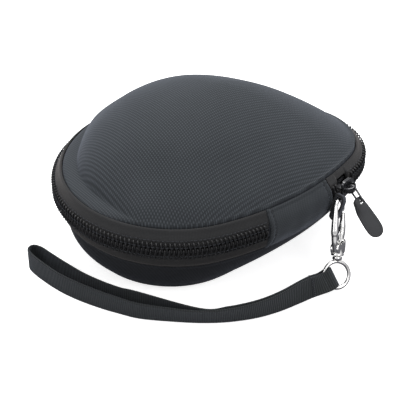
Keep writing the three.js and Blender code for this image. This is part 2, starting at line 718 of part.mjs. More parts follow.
// from the fork up to the hook's tip, with its pin and the bent leaf beside it
function buildGate() {
  const y = HOOK_BASE_Y;
  const gate = extrude([
    ...arcPoints(PIN_X, PIN_Y, 1.55, 200, 360, 6),
    [5.5, y + 10], [5.75, ARCH_Y - 8], [5.5, ARCH_Y - 1.9], [3.8, ARCH_Y - 2.1],
    [3.7, ARCH_Y - 8], [3.5, y + 10.5], [1.9, y + 7.6],
  ], 1.7);
  const drilled = solid(gate).subtract(solid(gatePin(PIN_HOLE_R, 8)));
  addToClasp('clasp_gate', fromSolid(drilled), MATERIALS.gateMetal);
  addToClasp('gate_pin', gatePin(PIN_R, CLASP_T), MATERIALS.pinMetal);
  const leaf = extrude([
    [-1.2, y + 9.4], [-0.8, y + 9.4], [0.2, y + 11.2], [2.1, y + 12.8], [1.9, y + 13.1],
    [-0.1, y + 11.6],
  ], 1.2);
  addToClasp('gate_spring', leaf, MATERIALS.springMetal);
}

// head and post held in the hook's base, collar and round ring, turned on the post
function buildSwivelEye() {
  const circle = arcPoints(0, 0, RING_R, 0, 360, 20).slice(0, -1);
  const ring = wireLoop(circle.map(([x, y]) => vec(x, y, 0)), RING_WIRE_R, 8);
  const post = cylinder(0.95, 0.95, 5.4, 12, 9.4);
  const head = cylinder(1.75, 1.75, 1.2, 12, HOOK_BASE_Y + 2.5);
  const collar = cylinder(2.5, 2.1, 2.2, 14, 8.35);
  const g = fromSolid(union(ring, post, head, collar)).rotateY(rad(RING_TURN));
  addToClasp('swivel_eye', g, MATERIALS.polishedMetal);
}

// ---- wrist strap: one closed ribbon standing on its edge, folded through the ring ----
// x, y that the first doubled section takes its direction from
const STRAP_AIM = [60.5, -67.9];
// Lower edge of each section: x, y, z, lean in degrees (90 = upright, less leans to
// the right of the strap's run). Doubled part, from the ring towards the round end:
const DOUBLED = [
  [54, -70.0, 1.4, 66], [44.2, -72.8, 0.9, 84], [31, -75.9, 0.9, 94], [18.2, -77.0, 0.9, 102],
  [4, -75.6, 0.9, 109], [-9.1, -72.2, 0.9, 112], [-23.6, -66.6, 0.9, 108],
  [-37.1, -60.4, 0.9, 103],
];
// single layer, out round the end of the strap and back:
const SINGLE = [
  [-46.5, -54.4, 0.9, 99], [-54.5, -47.6, 0.9, 96], [-63.5, -38.6, 0.9, 93],
  [-71, -29.2, 0.9, 92], [-77.4, -18.6, 0.9, 90], [-81.6, -9.5, 0.9, 90],
  [-82.4, -4.6, 0.9, 90], [-79.4, -2.4, 0.9, 90], [-75.6, -5.4, 0.9, 90],
  [-71.6, -12.4, 0.9, 90], [-66, -22.2, 0.9, 90], [-59, -33.2, 0.9, 90],
  [-51.6, -42.6, 0.9, 91], [-44.4, -50.4, 0.9, 93], [-38.2, -55.4, 0.9, 95],
];

// A section has its lower edge, the direction along the strap, the direction and size
// of its width, and the face normal, which points away from the case on the way out.
function section(edge, along, across, width) {
  return { edge, along, across, width, face: cross(across, along).normalize() };
}

// directions run between neighbours; previous is the point before the first row
function sectionsAlong(previous, rows) {
  const path = [previous, ...rows];
  return rows.map(([x, y, z, lean], i) => {
    const before = path[i];
    const after = path[Math.min(rows.length, i + 2)];
    const along = vec(after[0] - before[0], after[1] - before[1], 0).normalize();
    const right = vec(along.y, -along.x, 0);
    const across = right.multiplyScalar(Math.cos(rad(lean))).setZ(Math.sin(rad(lean)));
    return section(vec(x, y, z), along, across, STRAP_W);
  });
}

// four corners of the webbing, shifted along the face normal; a negative halfT turns it over
function webbingRing({ edge, across, width, face }, shift, halfT) {
  const low = plus(edge, face, shift);
  const high = plus(low, across, width);
  return [plus(low, face, halfT), plus(high, face, halfT),
    plus(high, face, -halfT), plus(low, face, -halfT)];
}

// first section: at the ring the strap's width follows the ring's wire
function sectionAtRing() {
  const turn = rad(RING_TURN);
  const at = rad(FOLD_AT);
  const ringX = plus(claspAcross.clone().multiplyScalar(Math.cos(turn)),
    claspThrough, -Math.sin(turn));
  const inward = plus(ringX.clone().multiplyScalar(Math.cos(at)), claspUp, Math.sin(at));
  const alongWire = plus(claspUp.clone().multiplyScalar(Math.cos(at)), ringX, -Math.sin(at));
  const middle = plus(claspOrigin, inward, -RING_R - FOLD_START);
  return section(plus(middle, alongWire, -FOLD_W / 2), inward.negate(), alongWire, FOLD_W);
}

function buildStrap() {
  const start = sectionAtRing();
  const doubled = [start, ...sectionsAlong(STRAP_AIM, DOUBLED)];
  const single = sectionsAlong(DOUBLED.at(-1), SINGLE);
  const gapAt = (i) => [FOLD_GAP, STITCH_GAP][i] ?? LAYER_GAP;
  const half = STRAP_T / 2;
  const outerLayer = doubled.map((s, i) => webbingRing(s, gapAt(i), half));
  // the inner layer stops two sections short, where the single part comes back
  const innerLayer = doubled.slice(0, -2).map((s, i) => webbingRing(s, -gapAt(i), -half));
  // the fold, inside the ring
  const moved = (distance) => plus(start.edge, start.along, -distance);
  const bend = { ...start, edge: moved(FOLD_REACH - FOLD_BEND) };
  const tip = {
    ...start,
    edge: moved(FOLD_START + FOLD_REACH),
    face: start.along.clone().negate(),
  };
  add('strap_webbing', loft([
    ...outerLayer,
    ...single.map((s) => webbingRing(s, 0, half)),
    ...innerLayer.reverse(),
    webbingRing(bend, -FOLD_GAP, -half),
    webbingRing(tip, 0, half),
    webbingRing(bend, FOLD_GAP, half),
  ], true), MATERIALS.strapWebbing);

  // bar of stitching across the strap, just off the outer face
  const { edge, along, across, width, face } = doubled[1];
  const middle = plus(plus(edge, across, width / 2), face, STITCH_GAP + half + STITCH_RISE);
  const bar = extrude(roundRect(1.2, 11, 0.5, 2), 0.35);
  bar.applyMatrix4(frame(middle, along, across, cross(along, across)));
  add('strap_stitch', bar, MATERIALS.thread);
}

buildShells();
buildBindings();
buildZip();
buildHinge();
buildSlider();
buildPull();
buildLanyardLoop();
buildHook();
buildGate();
buildSwivelEye();
buildStrap();

export default parts;
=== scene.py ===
"""Looks for a zipped carrying case with a wrist strap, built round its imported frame.

The case lies on z = 0 with a teardrop plan: the big end is centred on the origin and the tip
points to +x. The hinge panel, zip slider, clasp and most of the strap are on the -y side.
Lengths are millimetres until make().
"""
import math

import bmesh
import bpy
import numpy as np
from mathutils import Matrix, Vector


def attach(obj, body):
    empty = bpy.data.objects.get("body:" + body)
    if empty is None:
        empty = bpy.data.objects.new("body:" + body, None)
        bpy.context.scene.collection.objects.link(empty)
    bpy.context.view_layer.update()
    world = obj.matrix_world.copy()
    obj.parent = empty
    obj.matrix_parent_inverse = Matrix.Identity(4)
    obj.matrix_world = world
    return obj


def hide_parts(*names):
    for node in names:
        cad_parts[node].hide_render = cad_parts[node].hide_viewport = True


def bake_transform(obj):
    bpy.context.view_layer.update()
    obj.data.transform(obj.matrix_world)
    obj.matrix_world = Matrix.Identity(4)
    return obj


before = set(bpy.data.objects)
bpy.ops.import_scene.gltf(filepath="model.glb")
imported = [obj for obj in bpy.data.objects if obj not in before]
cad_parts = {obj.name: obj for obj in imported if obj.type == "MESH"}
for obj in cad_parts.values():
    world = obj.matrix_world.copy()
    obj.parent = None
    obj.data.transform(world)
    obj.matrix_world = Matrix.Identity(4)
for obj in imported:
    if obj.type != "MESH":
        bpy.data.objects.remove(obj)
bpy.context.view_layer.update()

MM = 0.001

# ---------------------------------------------------------------- case dimensions
# plan: two end arcs joined by a side arc on each side
BIG_R, TIP_R, TIP_X, SIDE_R = 59.74, 32.07, 66.23, 146.69
RIM_Z, BASE_Z, DOME_H, APEX_X = 49.5, 23.93, 43.83, 17.64
# pairs are (towards -x, towards +x)
DOME_POWER, DOME_ROOT = (1.66, 1.42), (1.77, 1.1)
FLANGE_W, FLANGE_H = (7.69, 1.5), 2.0
BASE_TOP_INSET, BASE_MID_INSET, BASE_END_INSET = 1.02, (3.59, 11.41), (15.24, 26.98)
# zip: depths are below the rim, offsets are outward from it
CHAIN_BIG, CHAIN_TIP, CHAIN_GAP, ROW_H = 9.9, 7.6, 1.3, 4.15
TAPE_IN, TAPE_OUT, ROW_OUT, BAND_BOTTOM = 3.1, 4.05, 6.15, 23.2
# angles round the centre of the -y side arc, in degrees
PANEL_DEG0, PANEL_DEG1, SLIDER_DEG = -74.7, -58.5, -54.2

BIG_GAP, TIP_GAP = SIDE_R - BIG_R, SIDE_R - TIP_R
SIDE_X = (BIG_GAP * BIG_GAP - TIP_GAP * TIP_GAP + TIP_X * TIP_X) / (2 * TIP_X)
SIDE_Y = math.sqrt(BIG_GAP * BIG_GAP - SIDE_X * SIDE_X)
BIG_JOIN = math.degrees(math.atan2(-SIDE_Y, -SIDE_X))
TIP_JOIN = math.degrees(math.atan2(-SIDE_Y, TIP_X - SIDE_X))
SIDE_LEN = SIDE_R * math.radians(TIP_JOIN - BIG_JOIN)
TIP_LEN = TIP_R * math.radians(-2 * TIP_JOIN)
BIG_LEN = BIG_R * math.radians(360 + 2 * BIG_JOIN)
TOTAL = 2 * SIDE_LEN + TIP_LEN + BIG_LEN
DEG_PER_MM = math.degrees(1 / SIDE_R)
UP = np.array([0, 0, 1.0])


def smooth(t):
    t = np.clip(t, 0, 1)
    return t * t * (3 - 2 * t)


def unit(vectors, eps=0.0):
    return vectors / (np.linalg.norm(vectors, axis=-1, keepdims=True) + eps)


def outline(s):
    """Rim point, outward normal and chain depth at arc length s, counter-clockwise
    from where the big end meets the -y side."""
    run = np.mod(np.atleast_1d(np.asarray(s, float)), TOTAL)
    cx, cy, radius, angle, depth = (np.zeros_like(run) for _ in range(5))
    near_end, tip_end, far_end = SIDE_LEN, SIDE_LEN + TIP_LEN, 2 * SIDE_LEN + TIP_LEN
    m = run < near_end
    deg = BIG_JOIN + np.degrees(run / SIDE_R)
    cx[m], cy[m], radius[m], angle[m] = SIDE_X, SIDE_Y, SIDE_R, np.radians(deg[m])
    depth[m] = np.where(deg[m] > (PANEL_DEG0 + PANEL_DEG1) / 2, CHAIN_TIP, CHAIN_BIG)
    m = (run >= near_end) & (run < tip_end)
    cx[m], cy[m], radius[m], depth[m] = TIP_X, 0, TIP_R, CHAIN_TIP
    angle[m] = math.radians(TIP_JOIN) + (run[m] - near_end) / TIP_R
    m = (run >= tip_end) & (run < far_end)
    cx[m], cy[m], radius[m] = SIDE_X, -SIDE_Y, SIDE_R
    angle[m] = -math.radians(TIP_JOIN) + (run[m] - tip_end) / SIDE_R
    depth[m] = CHAIN_TIP + (CHAIN_BIG - CHAIN_TIP) * smooth((run[m] - tip_end) / SIDE_LEN)
    m = run >= far_end
    cx[m], cy[m], radius[m], depth[m] = 0, 0, BIG_R, CHAIN_BIG
    angle[m] = -math.radians(BIG_JOIN) + (run[m] - far_end) / BIG_R
    normal = np.stack([np.cos(angle), np.sin(angle)], -1)
    return np.stack([cx, cy], -1) + radius[:, None] * normal, normal, depth


def s_of(deg):
    """Arc length at an angle on the -y side."""
    return SIDE_R * math.radians(deg - BIG_JOIN)


def band_points(s, offset, depth):
    """Points at arc length s, outward offset and depth below the rim."""
    point, normal, _ = outline(s)
    xy = point + normal * np.atleast_1d(offset)[:, None]
    return np.column_stack([xy, RIM_Z - np.broadcast_to(np.asarray(depth, float), (len(xy),))])


# ---------------------------------------------------------------- mesh helpers
# A mesh is a pair: vertices, faces.
def make(name, mesh, mat, sharp=0, wv=None):
    """Object from a mesh in mm; wv is a coordinate per vertex, stored for the cloth pattern."""
    verts, faces = mesh
    me = bpy.data.meshes.new(name)
    me.from_pydata((np.asarray(verts, float) * MM).tolist(), [],
                   [tuple(int(i) for i in face) for face in faces])
    me.validate()
    if wv is not None:
        att = me.attributes.new("wv", "FLOAT_VECTOR", "POINT")
        att.data.foreach_set("vector", np.asarray(wv, np.float32).ravel())
    bm = bmesh.new()
    bm.from_mesh(me)
    bmesh.ops.recalc_face_normals(bm, faces=bm.faces)
    bm.to_mesh(me)
    bm.free()
    me.polygons.foreach_set("use_smooth", [True] * len(me.polygons))
    if sharp:
        me.set_sharp_from_angle(angle=math.radians(sharp))
    me.materials.append(mat)
    ob = bpy.data.objects.new(name, me)
    bpy.context.scene.collection.objects.link(ob)
    return ob


def assign(ob, body, slot_name, *nodes):
    """The body a piece rides on, and the frame nodes it replaces; slot_name is not used."""
    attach(ob, body)
    if nodes:
        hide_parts(*nodes)


def grid_faces(rows, cols, wrap_rows=False, wrap_cols=False, base=0):
    faces = []
    for i in range(rows if wrap_rows else rows - 1):
        j = (i + 1) % rows
        for k in range(cols if wrap_cols else cols - 1):
            l = (k + 1) % cols
            faces.append(tuple(base + v for v in (i * cols + k, j * cols + k,
                                                  j * cols + l, i * cols + l)))
    return faces


def loft(rings, closed=False):
    """Skin over closed rings [ring, point]; capped unless the rings themselves close up."""
    rings = np.asarray(rings, float)
    rows, cols = rings.shape[:2]
    faces = grid_faces(rows, cols, closed, True)
    if not closed:
        faces += [tuple(range(cols))[::-1], tuple((rows - 1) * cols + k for k in range(cols))]
    return rings.reshape(-1, 3), faces


def catmull(points, per, closed=False):
    """Catmull-Rom curve with per steps a span."""
    pts = np.asarray(points, float)
    count = len(pts)
    out = []
    for i in range(count if closed else count - 1):
        near = (i - 1, i, i + 1, i + 2)
        if closed:
            a, b, c, d = (pts[k % count] for k in near)
        else:
            a, b, c, d = (pts[min(count - 1, max(0, k))] for k in near)
        for j in range(per):
            t = j / per
            out.append(0.5 * (2 * b + (c - a) * t + (2 * a - 5 * b + 4 * c - d) * t * t
                              + (3 * b - a - 3 * c + d) * t ** 3))
    if not closed:
        out.append(pts[-1])
    return np.array(out)


def tube(points, radius, sides=8, closed=False, up=UP, flat=1.0):
    """Tube round a path; radius may be an array, flat scales the width square to up."""
    path = np.asarray(points, float)
    if closed:
        tangent = np.roll(path, -1, 0) - np.roll(path, 1, 0)
    else:
        tangent = np.gradient(path, axis=0)
    tangent = unit(tangent, 1e-12)
    u = np.broadcast_to(np.asarray(up, float), path.shape)
    u = u - (u * tangent).sum(1)[:, None] * tangent
    parallel = np.linalg.norm(u, axis=1) < 1e-3
    u = unit(np.where(parallel[:, None], np.cross(tangent, (1, 0, 0.01)), u))
    w = np.cross(tangent, u)
    radius = np.broadcast_to(np.asarray(radius, float), (len(path),))
    a = 2 * np.pi * (np.arange(sides) + 0.5) / sides
    ring = (np.cos(a)[None, :, None] * u[:, None] + flat * np.sin(a)[None, :, None] * w[:, None])
    return loft(path[:, None] + radius[:, None, None] * ring, closed)


def joined(meshes):
    verts, faces, base = [], [], 0
    for part_verts, part_faces in meshes:
        verts.append(np.asarray(part_verts, float))
        faces += [tuple(i + base for i in face) for face in part_faces]
        base += len(part_verts)
    return np.vstack(verts), faces


def place(points, axes):
    """Points in a local frame (origin, x, y, z) moved to the case's frame."""
    origin, x, y, z = axes
    points = np.asarray(points, float)
    return origin + points[:, :1] * x + points[:, 1:2] * y + points[:, 2:3] * z


def placed(mesh, axes):
    return place(mesh[0], axes), mesh[1]


def lathe(profile, axes, sides=40):
    """Profile of (radius, height) turned about the frame's y."""
    angles = 2 * np.pi * np.arange(sides) / sides
    verts = [(r * math.cos(a), h, r * math.sin(a)) for a in angles for r, h in profile]
    m = len(profile)
    faces = grid_faces(sides, m, True, False)
    faces += [tuple(i * m for i in range(sides)), tuple(i * m + m - 1 for i in range(sides))[::-1]]
    return place(verts, axes), faces


def slab(loops, z0, z1, bevel, segs=3):
    """Plate between z0 and z1 with rounded edges: first loop outside, the others holes."""
    bm = bmesh.new()
    edges = []
    for loop in loops:
        vs = [bm.verts.new((x, y, z0)) for x, y in loop]
        edges += [bm.edges.new((vs[i], vs[(i + 1) % len(vs)])) for i in range(len(vs))]
    bmesh.ops.triangle_fill(bm, use_beauty=True, use_dissolve=False, edges=edges,
                            normal=(0, 0, 1))
    extruded = bmesh.ops.extrude_face_region(bm, geom=list(bm.faces))
    for item in extruded["geom"]:
        if isinstance(item, bmesh.types.BMVert):
            item.co.z = z1
    bmesh.ops.recalc_face_normals(bm, faces=bm.faces)

    def on_rim(edge):
        sides = [abs(face.normal.z) for face in edge.link_faces]
        return len(sides) == 2 and abs(sides[0] - sides[1]) > 0.7

    bmesh.ops.bevel(bm, geom=[e for e in bm.edges if on_rim(e)], offset=bevel, segments=segs,
                    profile=0.5, affect="EDGES", clamp_overlap=True)
    bm.verts.index_update()
    verts = np.array([vert.co[:] for vert in bm.verts])
    faces = [tuple(vert.index for vert in face.verts) for face in bm.faces]
    bm.free()
    return verts, faces


def raised(height, *points):
    """Points of (x, y) given from a height."""
    return [(x, height + y) for x, y in points]


# ---------------------------------------------------------------- materials
class Shader:
    """A material with short calls for its nodes; patterns are measured in millimetres."""

    def __init__(self, name):
        self.material = bpy.data.materials.new(name)
        self.material.use_nodes = True
        self.tree = self.material.node_tree
        self.bsdf = self.tree.nodes["Principled BSDF"]

    def node(self, kind, **inputs):
        node = self.tree.nodes.new("ShaderNode" + kind)
        self.feed(node, inputs)
        return node

    def feed(self, node, inputs):
        """Each input is a socket to link or a value to set; keys are names or indices."""
        for key, value in inputs.items():
            if isinstance(value, bpy.types.NodeSocket):
                self.tree.links.new(value, node.inputs[key])
            else:
                node.inputs[key].default_value = value

    def math(self, operation, *values, clamp=False):
        node = self.node("Math")
        node.operation = operation
        node.use_clamp = clamp
        self.feed(node, dict(enumerate(values)))
        return node.outputs[0]

    def coord(self, use_wv=False):
        """Position in mm: the piece's own stored coordinate, or the rest frame."""
        if use_wv:
            node = self.node("Attribute")
            node.attribute_name = "wv"
            return node.outputs["Vector"]
        source = self.node("TexCoord")
        scale = self.node("VectorMath")
        scale.operation = "SCALE"
        self.feed(scale, {"Scale": 1 / MM, 0: source.outputs["Object"]})
        return scale.outputs[0]

    def wave(self, where, direction, pitch, phase=None):
        """0..1 wave across lines square to direction, one per pitch mm."""
        dot = self.node("VectorMath")
        dot.operation = "DOT_PRODUCT"
        self.feed(dot, {0: where, 1: direction})
        x = self.math("MULTIPLY", dot.outputs["Value"], 2 * math.pi / pitch)
        if phase is not None:
            x = self.math("ADD", x, phase)
        return self.math("MULTIPLY_ADD", self.math("SINE", x), 0.5, 0.5)

    def noise(self, where, scale, detail=3.0, rough=0.55):
        node = self.node("TexNoise", Scale=scale, Detail=detail, Roughness=rough, Vector=where)
        return node.outputs["Fac"]

    def ramp(self, fac, stops):
        node = self.node("ValToRGB")
        while len(node.color_ramp.elements) < len(stops):
            node.color_ramp.elements.new(0.5)
        for element, (position, colour) in zip(node.color_ramp.elements, stops):
            element.position = position
            element.color = (*colour, 1)
        self.feed(node, {0: fac})
        return node.outputs[0]

    def bump(self, height, distance):
        """distance is in metres."""
        return self.node("Bump", Strength=1.0, Distance=distance, Height=height).outputs[0]


def tint(colour, k):
    return tuple(min(1.0, x * k) for x in colour)


def fabric(name, base, use_wv=False, rib_dir=(0.7071, 0.7071, 0.0), rib=0.82,
           float_dir=(0.7071, -0.7071, 0.0), floats=0.9, mixed=0.35, contrast=0.35,
           bump=0.00009, sheen=0.25, sheen_tint=(0.75, 0.82, 1.0), mottling=0.12):
    """Cloth: ribs every rib mm square to rib_dir, broken every floats mm along float_dir by
    the share mixed, with fuzz, broad mottling and a soft sheen."""
    m = Shader(name)
    where = m.coord(use_wv)
    wobble = m.math("MULTIPLY", m.noise(where, scale=0.06, detail=2.0), 1.6)  # radians
    ribs = m.wave(where, rib_dir, rib, wobble)
    breaks = m.wave(where, float_dir, floats)
    weave = m.math("MULTIPLY_ADD", m.math("MULTIPLY", ribs, breaks), mixed,
                   m.math("MULTIPLY", ribs, 1 - mixed))
    fuzz = m.noise(where, scale=3.2, detail=4.0, rough=0.7)
    broad = m.noise(where, scale=0.045, detail=2.0)
    fuzz_share, weave_share = 0.35, 0.8
    height = m.math("MULTIPLY_ADD", fuzz, fuzz_share, m.math("MULTIPLY", weave, weave_share))
    tone = m.math("MULTIPLY_ADD", m.math("SUBTRACT", broad, 0.5), mottling * 2,
                  m.math("MULTIPLY", height, 1.0), clamp=True)
    colour = m.ramp(tone, [(0.0, tint(base, 1 - contrast)), (0.5, base),
                           (1.0, tint(base, 1 + contrast * 1.3))])
    rough, rough_range = 0.85, 0.12
    m.feed(m.bsdf, {
        "Base Color": colour,
        "Roughness": m.math("MULTIPLY_ADD", fuzz, rough_range, rough - 0.06),
        "Sheen Weight": sheen,
        "Sheen Roughness": 0.45,
        "Sheen Tint": (*sheen_tint, 1),
        "Specular IOR Level": 0.25,
        "Normal": m.bump(height, bump),
    })
    return m.material


def hard(name, base, rough, metallic=0.0, coat=0.0, grain=1.2, wear=0.0, bump=0.00002,
         rough_var=0.1, edge=(0.5, 0.5, 0.5)):
    """Moulded, painted or plated: fine grain, smudges, and wear of colour edge where edges
    stick out."""
    m = Shader(name)
    where = m.coord()
    fine = m.noise(where, scale=grain, detail=5.0, rough=0.6)
    smudge = m.noise(where, scale=0.22, detail=3.0)
    colour = m.ramp(smudge, [(0.25, tint(base, 0.88)), (0.75, tint(base, 1.1))])
    if wear:
        grain_share, threshold = 0.12, 0.605  # how ragged the wear is, how sharp an edge wears
        pointiness = m.node("NewGeometry").outputs["Pointiness"]
        ragged = m.math("MULTIPLY_ADD", fine, grain_share, pointiness)
        worn = m.math("MULTIPLY", m.math("GREATER_THAN", ragged, threshold), wear)
        mix = m.node("Mix")
        mix.data_type = "RGBA"
        m.feed(mix, {"Factor": worn, "A": colour, "B": (*edge, 1)})
        colour = mix.outputs["Result"]
    m.feed(m.bsdf, {
        "Base Color": colour,
        "Roughness": m.math("MULTIPLY_ADD", m.math("SUBTRACT", smudge, 0.5), rough_var * 2,
                            rough, clamp=True),
        "Metallic": metallic,
        "Coat Weight": coat,
        "Coat Roughness": 0.15,
        "IOR": 1.5,
        "Normal": m.bump(fine, bump),
    })
    return m.material


# looks shared by the two tapes and the two threads
TAPE_KNIT = dict(use_wv=True, rib_dir=(1.0, 0.0, 0.0), rib=0.7, float_dir=(0.0, 1.0, 0.0),
                 floats=0.7, contrast=0.3, bump=0.00008, sheen_tint=(1.0, 0.93, 0.9),
                 mixed=0.8, mottling=0.3)
TWISTED = dict(rib_dir=(0.6, 0.5, 0.62), rib=0.3, float_dir=(0.5, -0.7, 0.5), floats=0.3,
               contrast=0.4, bump=0.00004, sheen=0.3)

M_DOME = fabric("dome_fabric", (0.032, 0.0365, 0.041), rib_dir=(0.94, 0.34, 0.0), rib=1.15,
                float_dir=(0.34, -0.94, 0.0), floats=1.2, mixed=0.9, contrast=0.58,
                bump=0.00008, sheen=0.14)
M_BASE = fabric("base_fabric", (0.010, 0.011, 0.013), rib_dir=(0.80, 0.3, 0.52), rib=1.15,
                float_dir=(0.3, -0.6, 0.74), floats=1.3, contrast=0.3, bump=0.00006, sheen=0.08)
M_PANEL = fabric("panel_fabric", (0.022, 0.025, 0.028), use_wv=True, rib_dir=(0.80, 0.60, 0.0),
                 rib=0.95, float_dir=(0.6, -0.8, 0.0), floats=1.1, bump=0.00008, sheen=0.15)
M_TAPE_UPPER = fabric("tape_knit", (0.019, 0.0195, 0.0205), sheen=0.16, **TAPE_KNIT)
# painted shade: the lower tape is the same knit as the upper one, in a darker copy that stands for
# the shade low on the case's side
M_TAPE_LOWER_PAINTED_SHADE = fabric("tape_knit_lower_painted_shade", (0.011, 0.0112, 0.012), sheen=0.1, **TAPE_KNIT)
M_LINING = fabric("lining_knit", (0.016, 0.016, 0.018), rib_dir=(1.0, 0.0, 0.3), rib=0.9,
                  float_dir=(0.0, 1.0, 0.3), floats=0.9, contrast=0.4, bump=0.0001, sheen=0.5,
                  mixed=0.9, mottling=0.3)
M_FOAM = hard("foam", (0.022, 0.022, 0.024), rough=0.9, grain=3.0, bump=0.00015)
M_BIND = fabric("binding_tape", (0.018, 0.018, 0.020), use_wv=True, rib_dir=(1.0, 0.0, 0.0),
                rib=0.6, float_dir=(0, 1.0, 0), floats=0.9, contrast=0.4, sheen=0.2)
M_COIL = hard("coil_nylon", (0.013, 0.013, 0.014), rough=0.42, coat=0.12, grain=2.0,
              bump=0.00001)
M_PAINT = hard("slider_paint", (0.017, 0.018, 0.020), rough=0.24, metallic=0.25, coat=0.5,
               grain=1.5, wear=0.35, edge=(0.16, 0.16, 0.17))
M_RUBBER = hard("pull_rubber", (0.024, 0.025, 0.028), rough=0.6, grain=4.0, bump=0.00004,
                wear=0.3, edge=(0.05, 0.05, 0.055))
M_LOOP = fabric("loop_webbing", (0.011, 0.011, 0.012), use_wv=True, rib_dir=(0.0, 0.0, 1.0),
                rib=0.62, float_dir=(0.0, 1.0, 0.0), floats=0.9, contrast=0.5, bump=0.00012,
                sheen=0.2, mixed=0.3)
M_STRAP = fabric("strap_webbing", (0.0175, 0.0195, 0.020), use_wv=True, rib_dir=(1.0, 0.0, 0.0),
                 rib=1.15, float_dir=(0.0, 1.0, 0.0), floats=0.55, contrast=0.45, bump=0.00012,
                 sheen=0.15, mixed=0.2)
M_THREAD = fabric("black_thread", (0.014, 0.015, 0.016), **TWISTED)
M_KNOT = fabric("seam_thread", (0.05, 0.053, 0.057), **TWISTED)
M_CHROME = hard("plated_zinc", (0.86, 0.855, 0.84), rough=0.12, metallic=1.0, grain=0.8,
                bump=0.00003, rough_var=0.08)
M_STEEL = hard("spring_steel", (0.45, 0.45, 0.46), rough=0.28, metallic=1.0, grain=1.4,
               bump=0.00003)

# ---------------------------------------------------------------- lid and base layers
STATIONS = 288
S_AROUND = np.arange(STATIONS) * TOTAL / STATIONS
RIM_XY, RIM_NORMAL, _ = outline(S_AROUND)
SPOKE = RIM_XY - np.array([APEX_X, 0])  # from the apex out to the rim
SPOKE_LEN = np.linalg.norm(SPOKE, axis=1)
TOWARDS_TIP = (1 + SPOKE[:, 0] / SPOKE_LEN) / 2


def lerp(pair, t):
    return pair[0] + (pair[1] - pair[0]) * t


def fan_ring(u, z):
    """One ring at fraction u of every spoke."""
    return np.column_stack([APEX_X + u * SPOKE[:, 0], u * SPOKE[:, 1], np.broadcast_to(z, STATIONS)])


def dome_surface():
    """Rings of the lid's outer face, from near the apex to the rim's turned edge."""
    t = TOWARDS_TIP ** 1.5
    flange, power, root = lerp(FLANGE_W, t), lerp(DOME_POWER, t), lerp(DOME_ROOT, t)
    foot = 1 - flange / SPOKE_LEN
    # except at the -x end, the wall's foot spreads out to the rim
    reach = smooth((SPOKE[:, 0] / SPOKE_LEN + 0.97) / 0.28) * 0.9
    blunt = 0.16  # rounds the apex
    rings = []
    for th in np.linspace(0, 1, 72)[1:]:
        w = math.sin(th * math.pi / 2) ** 1.25
        drop = (((w * w + blunt * blunt) ** (power / 2) - blunt ** power)
                / ((1 + blunt * blunt) ** (power / 2) - blunt ** power))
        height = DOME_H * np.maximum(1 - drop, 0) ** (1 / root)
        spread = (1 - smooth(height / 24.0)) * reach
        rings.append((w * foot + spread * flange / SPOKE_LEN,
                      np.maximum(height, FLANGE_H + 0.25)))
    u_foot = rings[-1][0]
    u_rim = 1 - 0.25 / SPOKE_LEN
    for f in np.linspace(0, 1, 14)[1:]:
        z = FLANGE_H * (1 - f ** 2.4) - 0.3 * f ** 6
        rings.append((u_foot + (u_rim - u_foot) * f, np.full(STATIONS, z)))
    us = np.array([ring[0] for ring in rings])
    zs = np.array([ring[1] for ring in rings])
    for _ in range(10):  # soften the crease between wall and flange
        for arr in (us, zs):
            arr[40:-3] += 0.5 * ((arr[39:-4] + arr[41:-2]) / 2 - arr[40:-3])
    out = [fan_ring(u, RIM_Z + z) for u, z in zip(us, zs)]
    last = out[-1]
    for down, inward in ((0.25, 0.12), (0.6, 0.25), (1.0, 0.4)):
        ring = last.copy()
        ring[:, :2] -= RIM_NORMAL * inward
        ring[:, 2] -= down
        out.append(ring)
    return np.array(out)


def base_surface():
    """Rings of the base's outer face, from near the middle of the bottom up to its edge."""
    mid, end = lerp(BASE_MID_INSET, TOWARDS_TIP), lerp(BASE_END_INSET, TOWARDS_TIP)
    out = [fan_ring(f * (1 - end / SPOKE_LEN), 0.0) for f in (0.12, 0.3, 0.5, 0.7, 0.86, 0.95)]
    for a in 1 - np.linspace(0, 1, 34) ** 1.15:  # a is 1 at the bottom, 0 at the top
        inset = (BASE_TOP_INSET * (1 - a) * (1 - 2 * a) + 4 * mid * a * (1 - a)
                 + end * a * (2 * a - 1))
        z = BASE_Z * (1 - a)
        z = math.sqrt(z * z + 0.5) - 0.7071 if z < 4 else z - 0.0625 * 4 / max(z, 4)
        out.append(fan_ring(1 - inset / SPOKE_LEN, max(z, 0)))
    out += [fan_ring(1 - 0.2 / SPOKE_LEN, z) for z in (24.9, 25.9)]
    return np.array(out)


def surface_normals(surface, pole):
    """Unit normals of a [ring, station] grid round a pole, away from the case's middle."""
    du = np.roll(surface, -1, 1) - np.roll(surface, 1, 1)
    full = np.concatenate([np.broadcast_to(pole, surface[:1].shape), surface], 0)
    dv = np.empty_like(surface)
    dv[:-1] = full[2:] - full[:-2]
    dv[-1] = surface[-1] - surface[-2]
    normals = unit(np.cross(du, dv), 1e-12)
    middle = np.array([APEX_X, 0, (RIM_Z + BASE_Z) / 2])
    return normals * np.sign(((surface - middle) * normals).sum(2))[:, :, None]


def relax(normals, times):
    for _ in range(times):
        softer = normals.copy()
        softer[1:-1] = (normals[:-2] + 2 * normals[1:-1] + normals[2:]) / 4
        normals = unit(softer)
    return normals


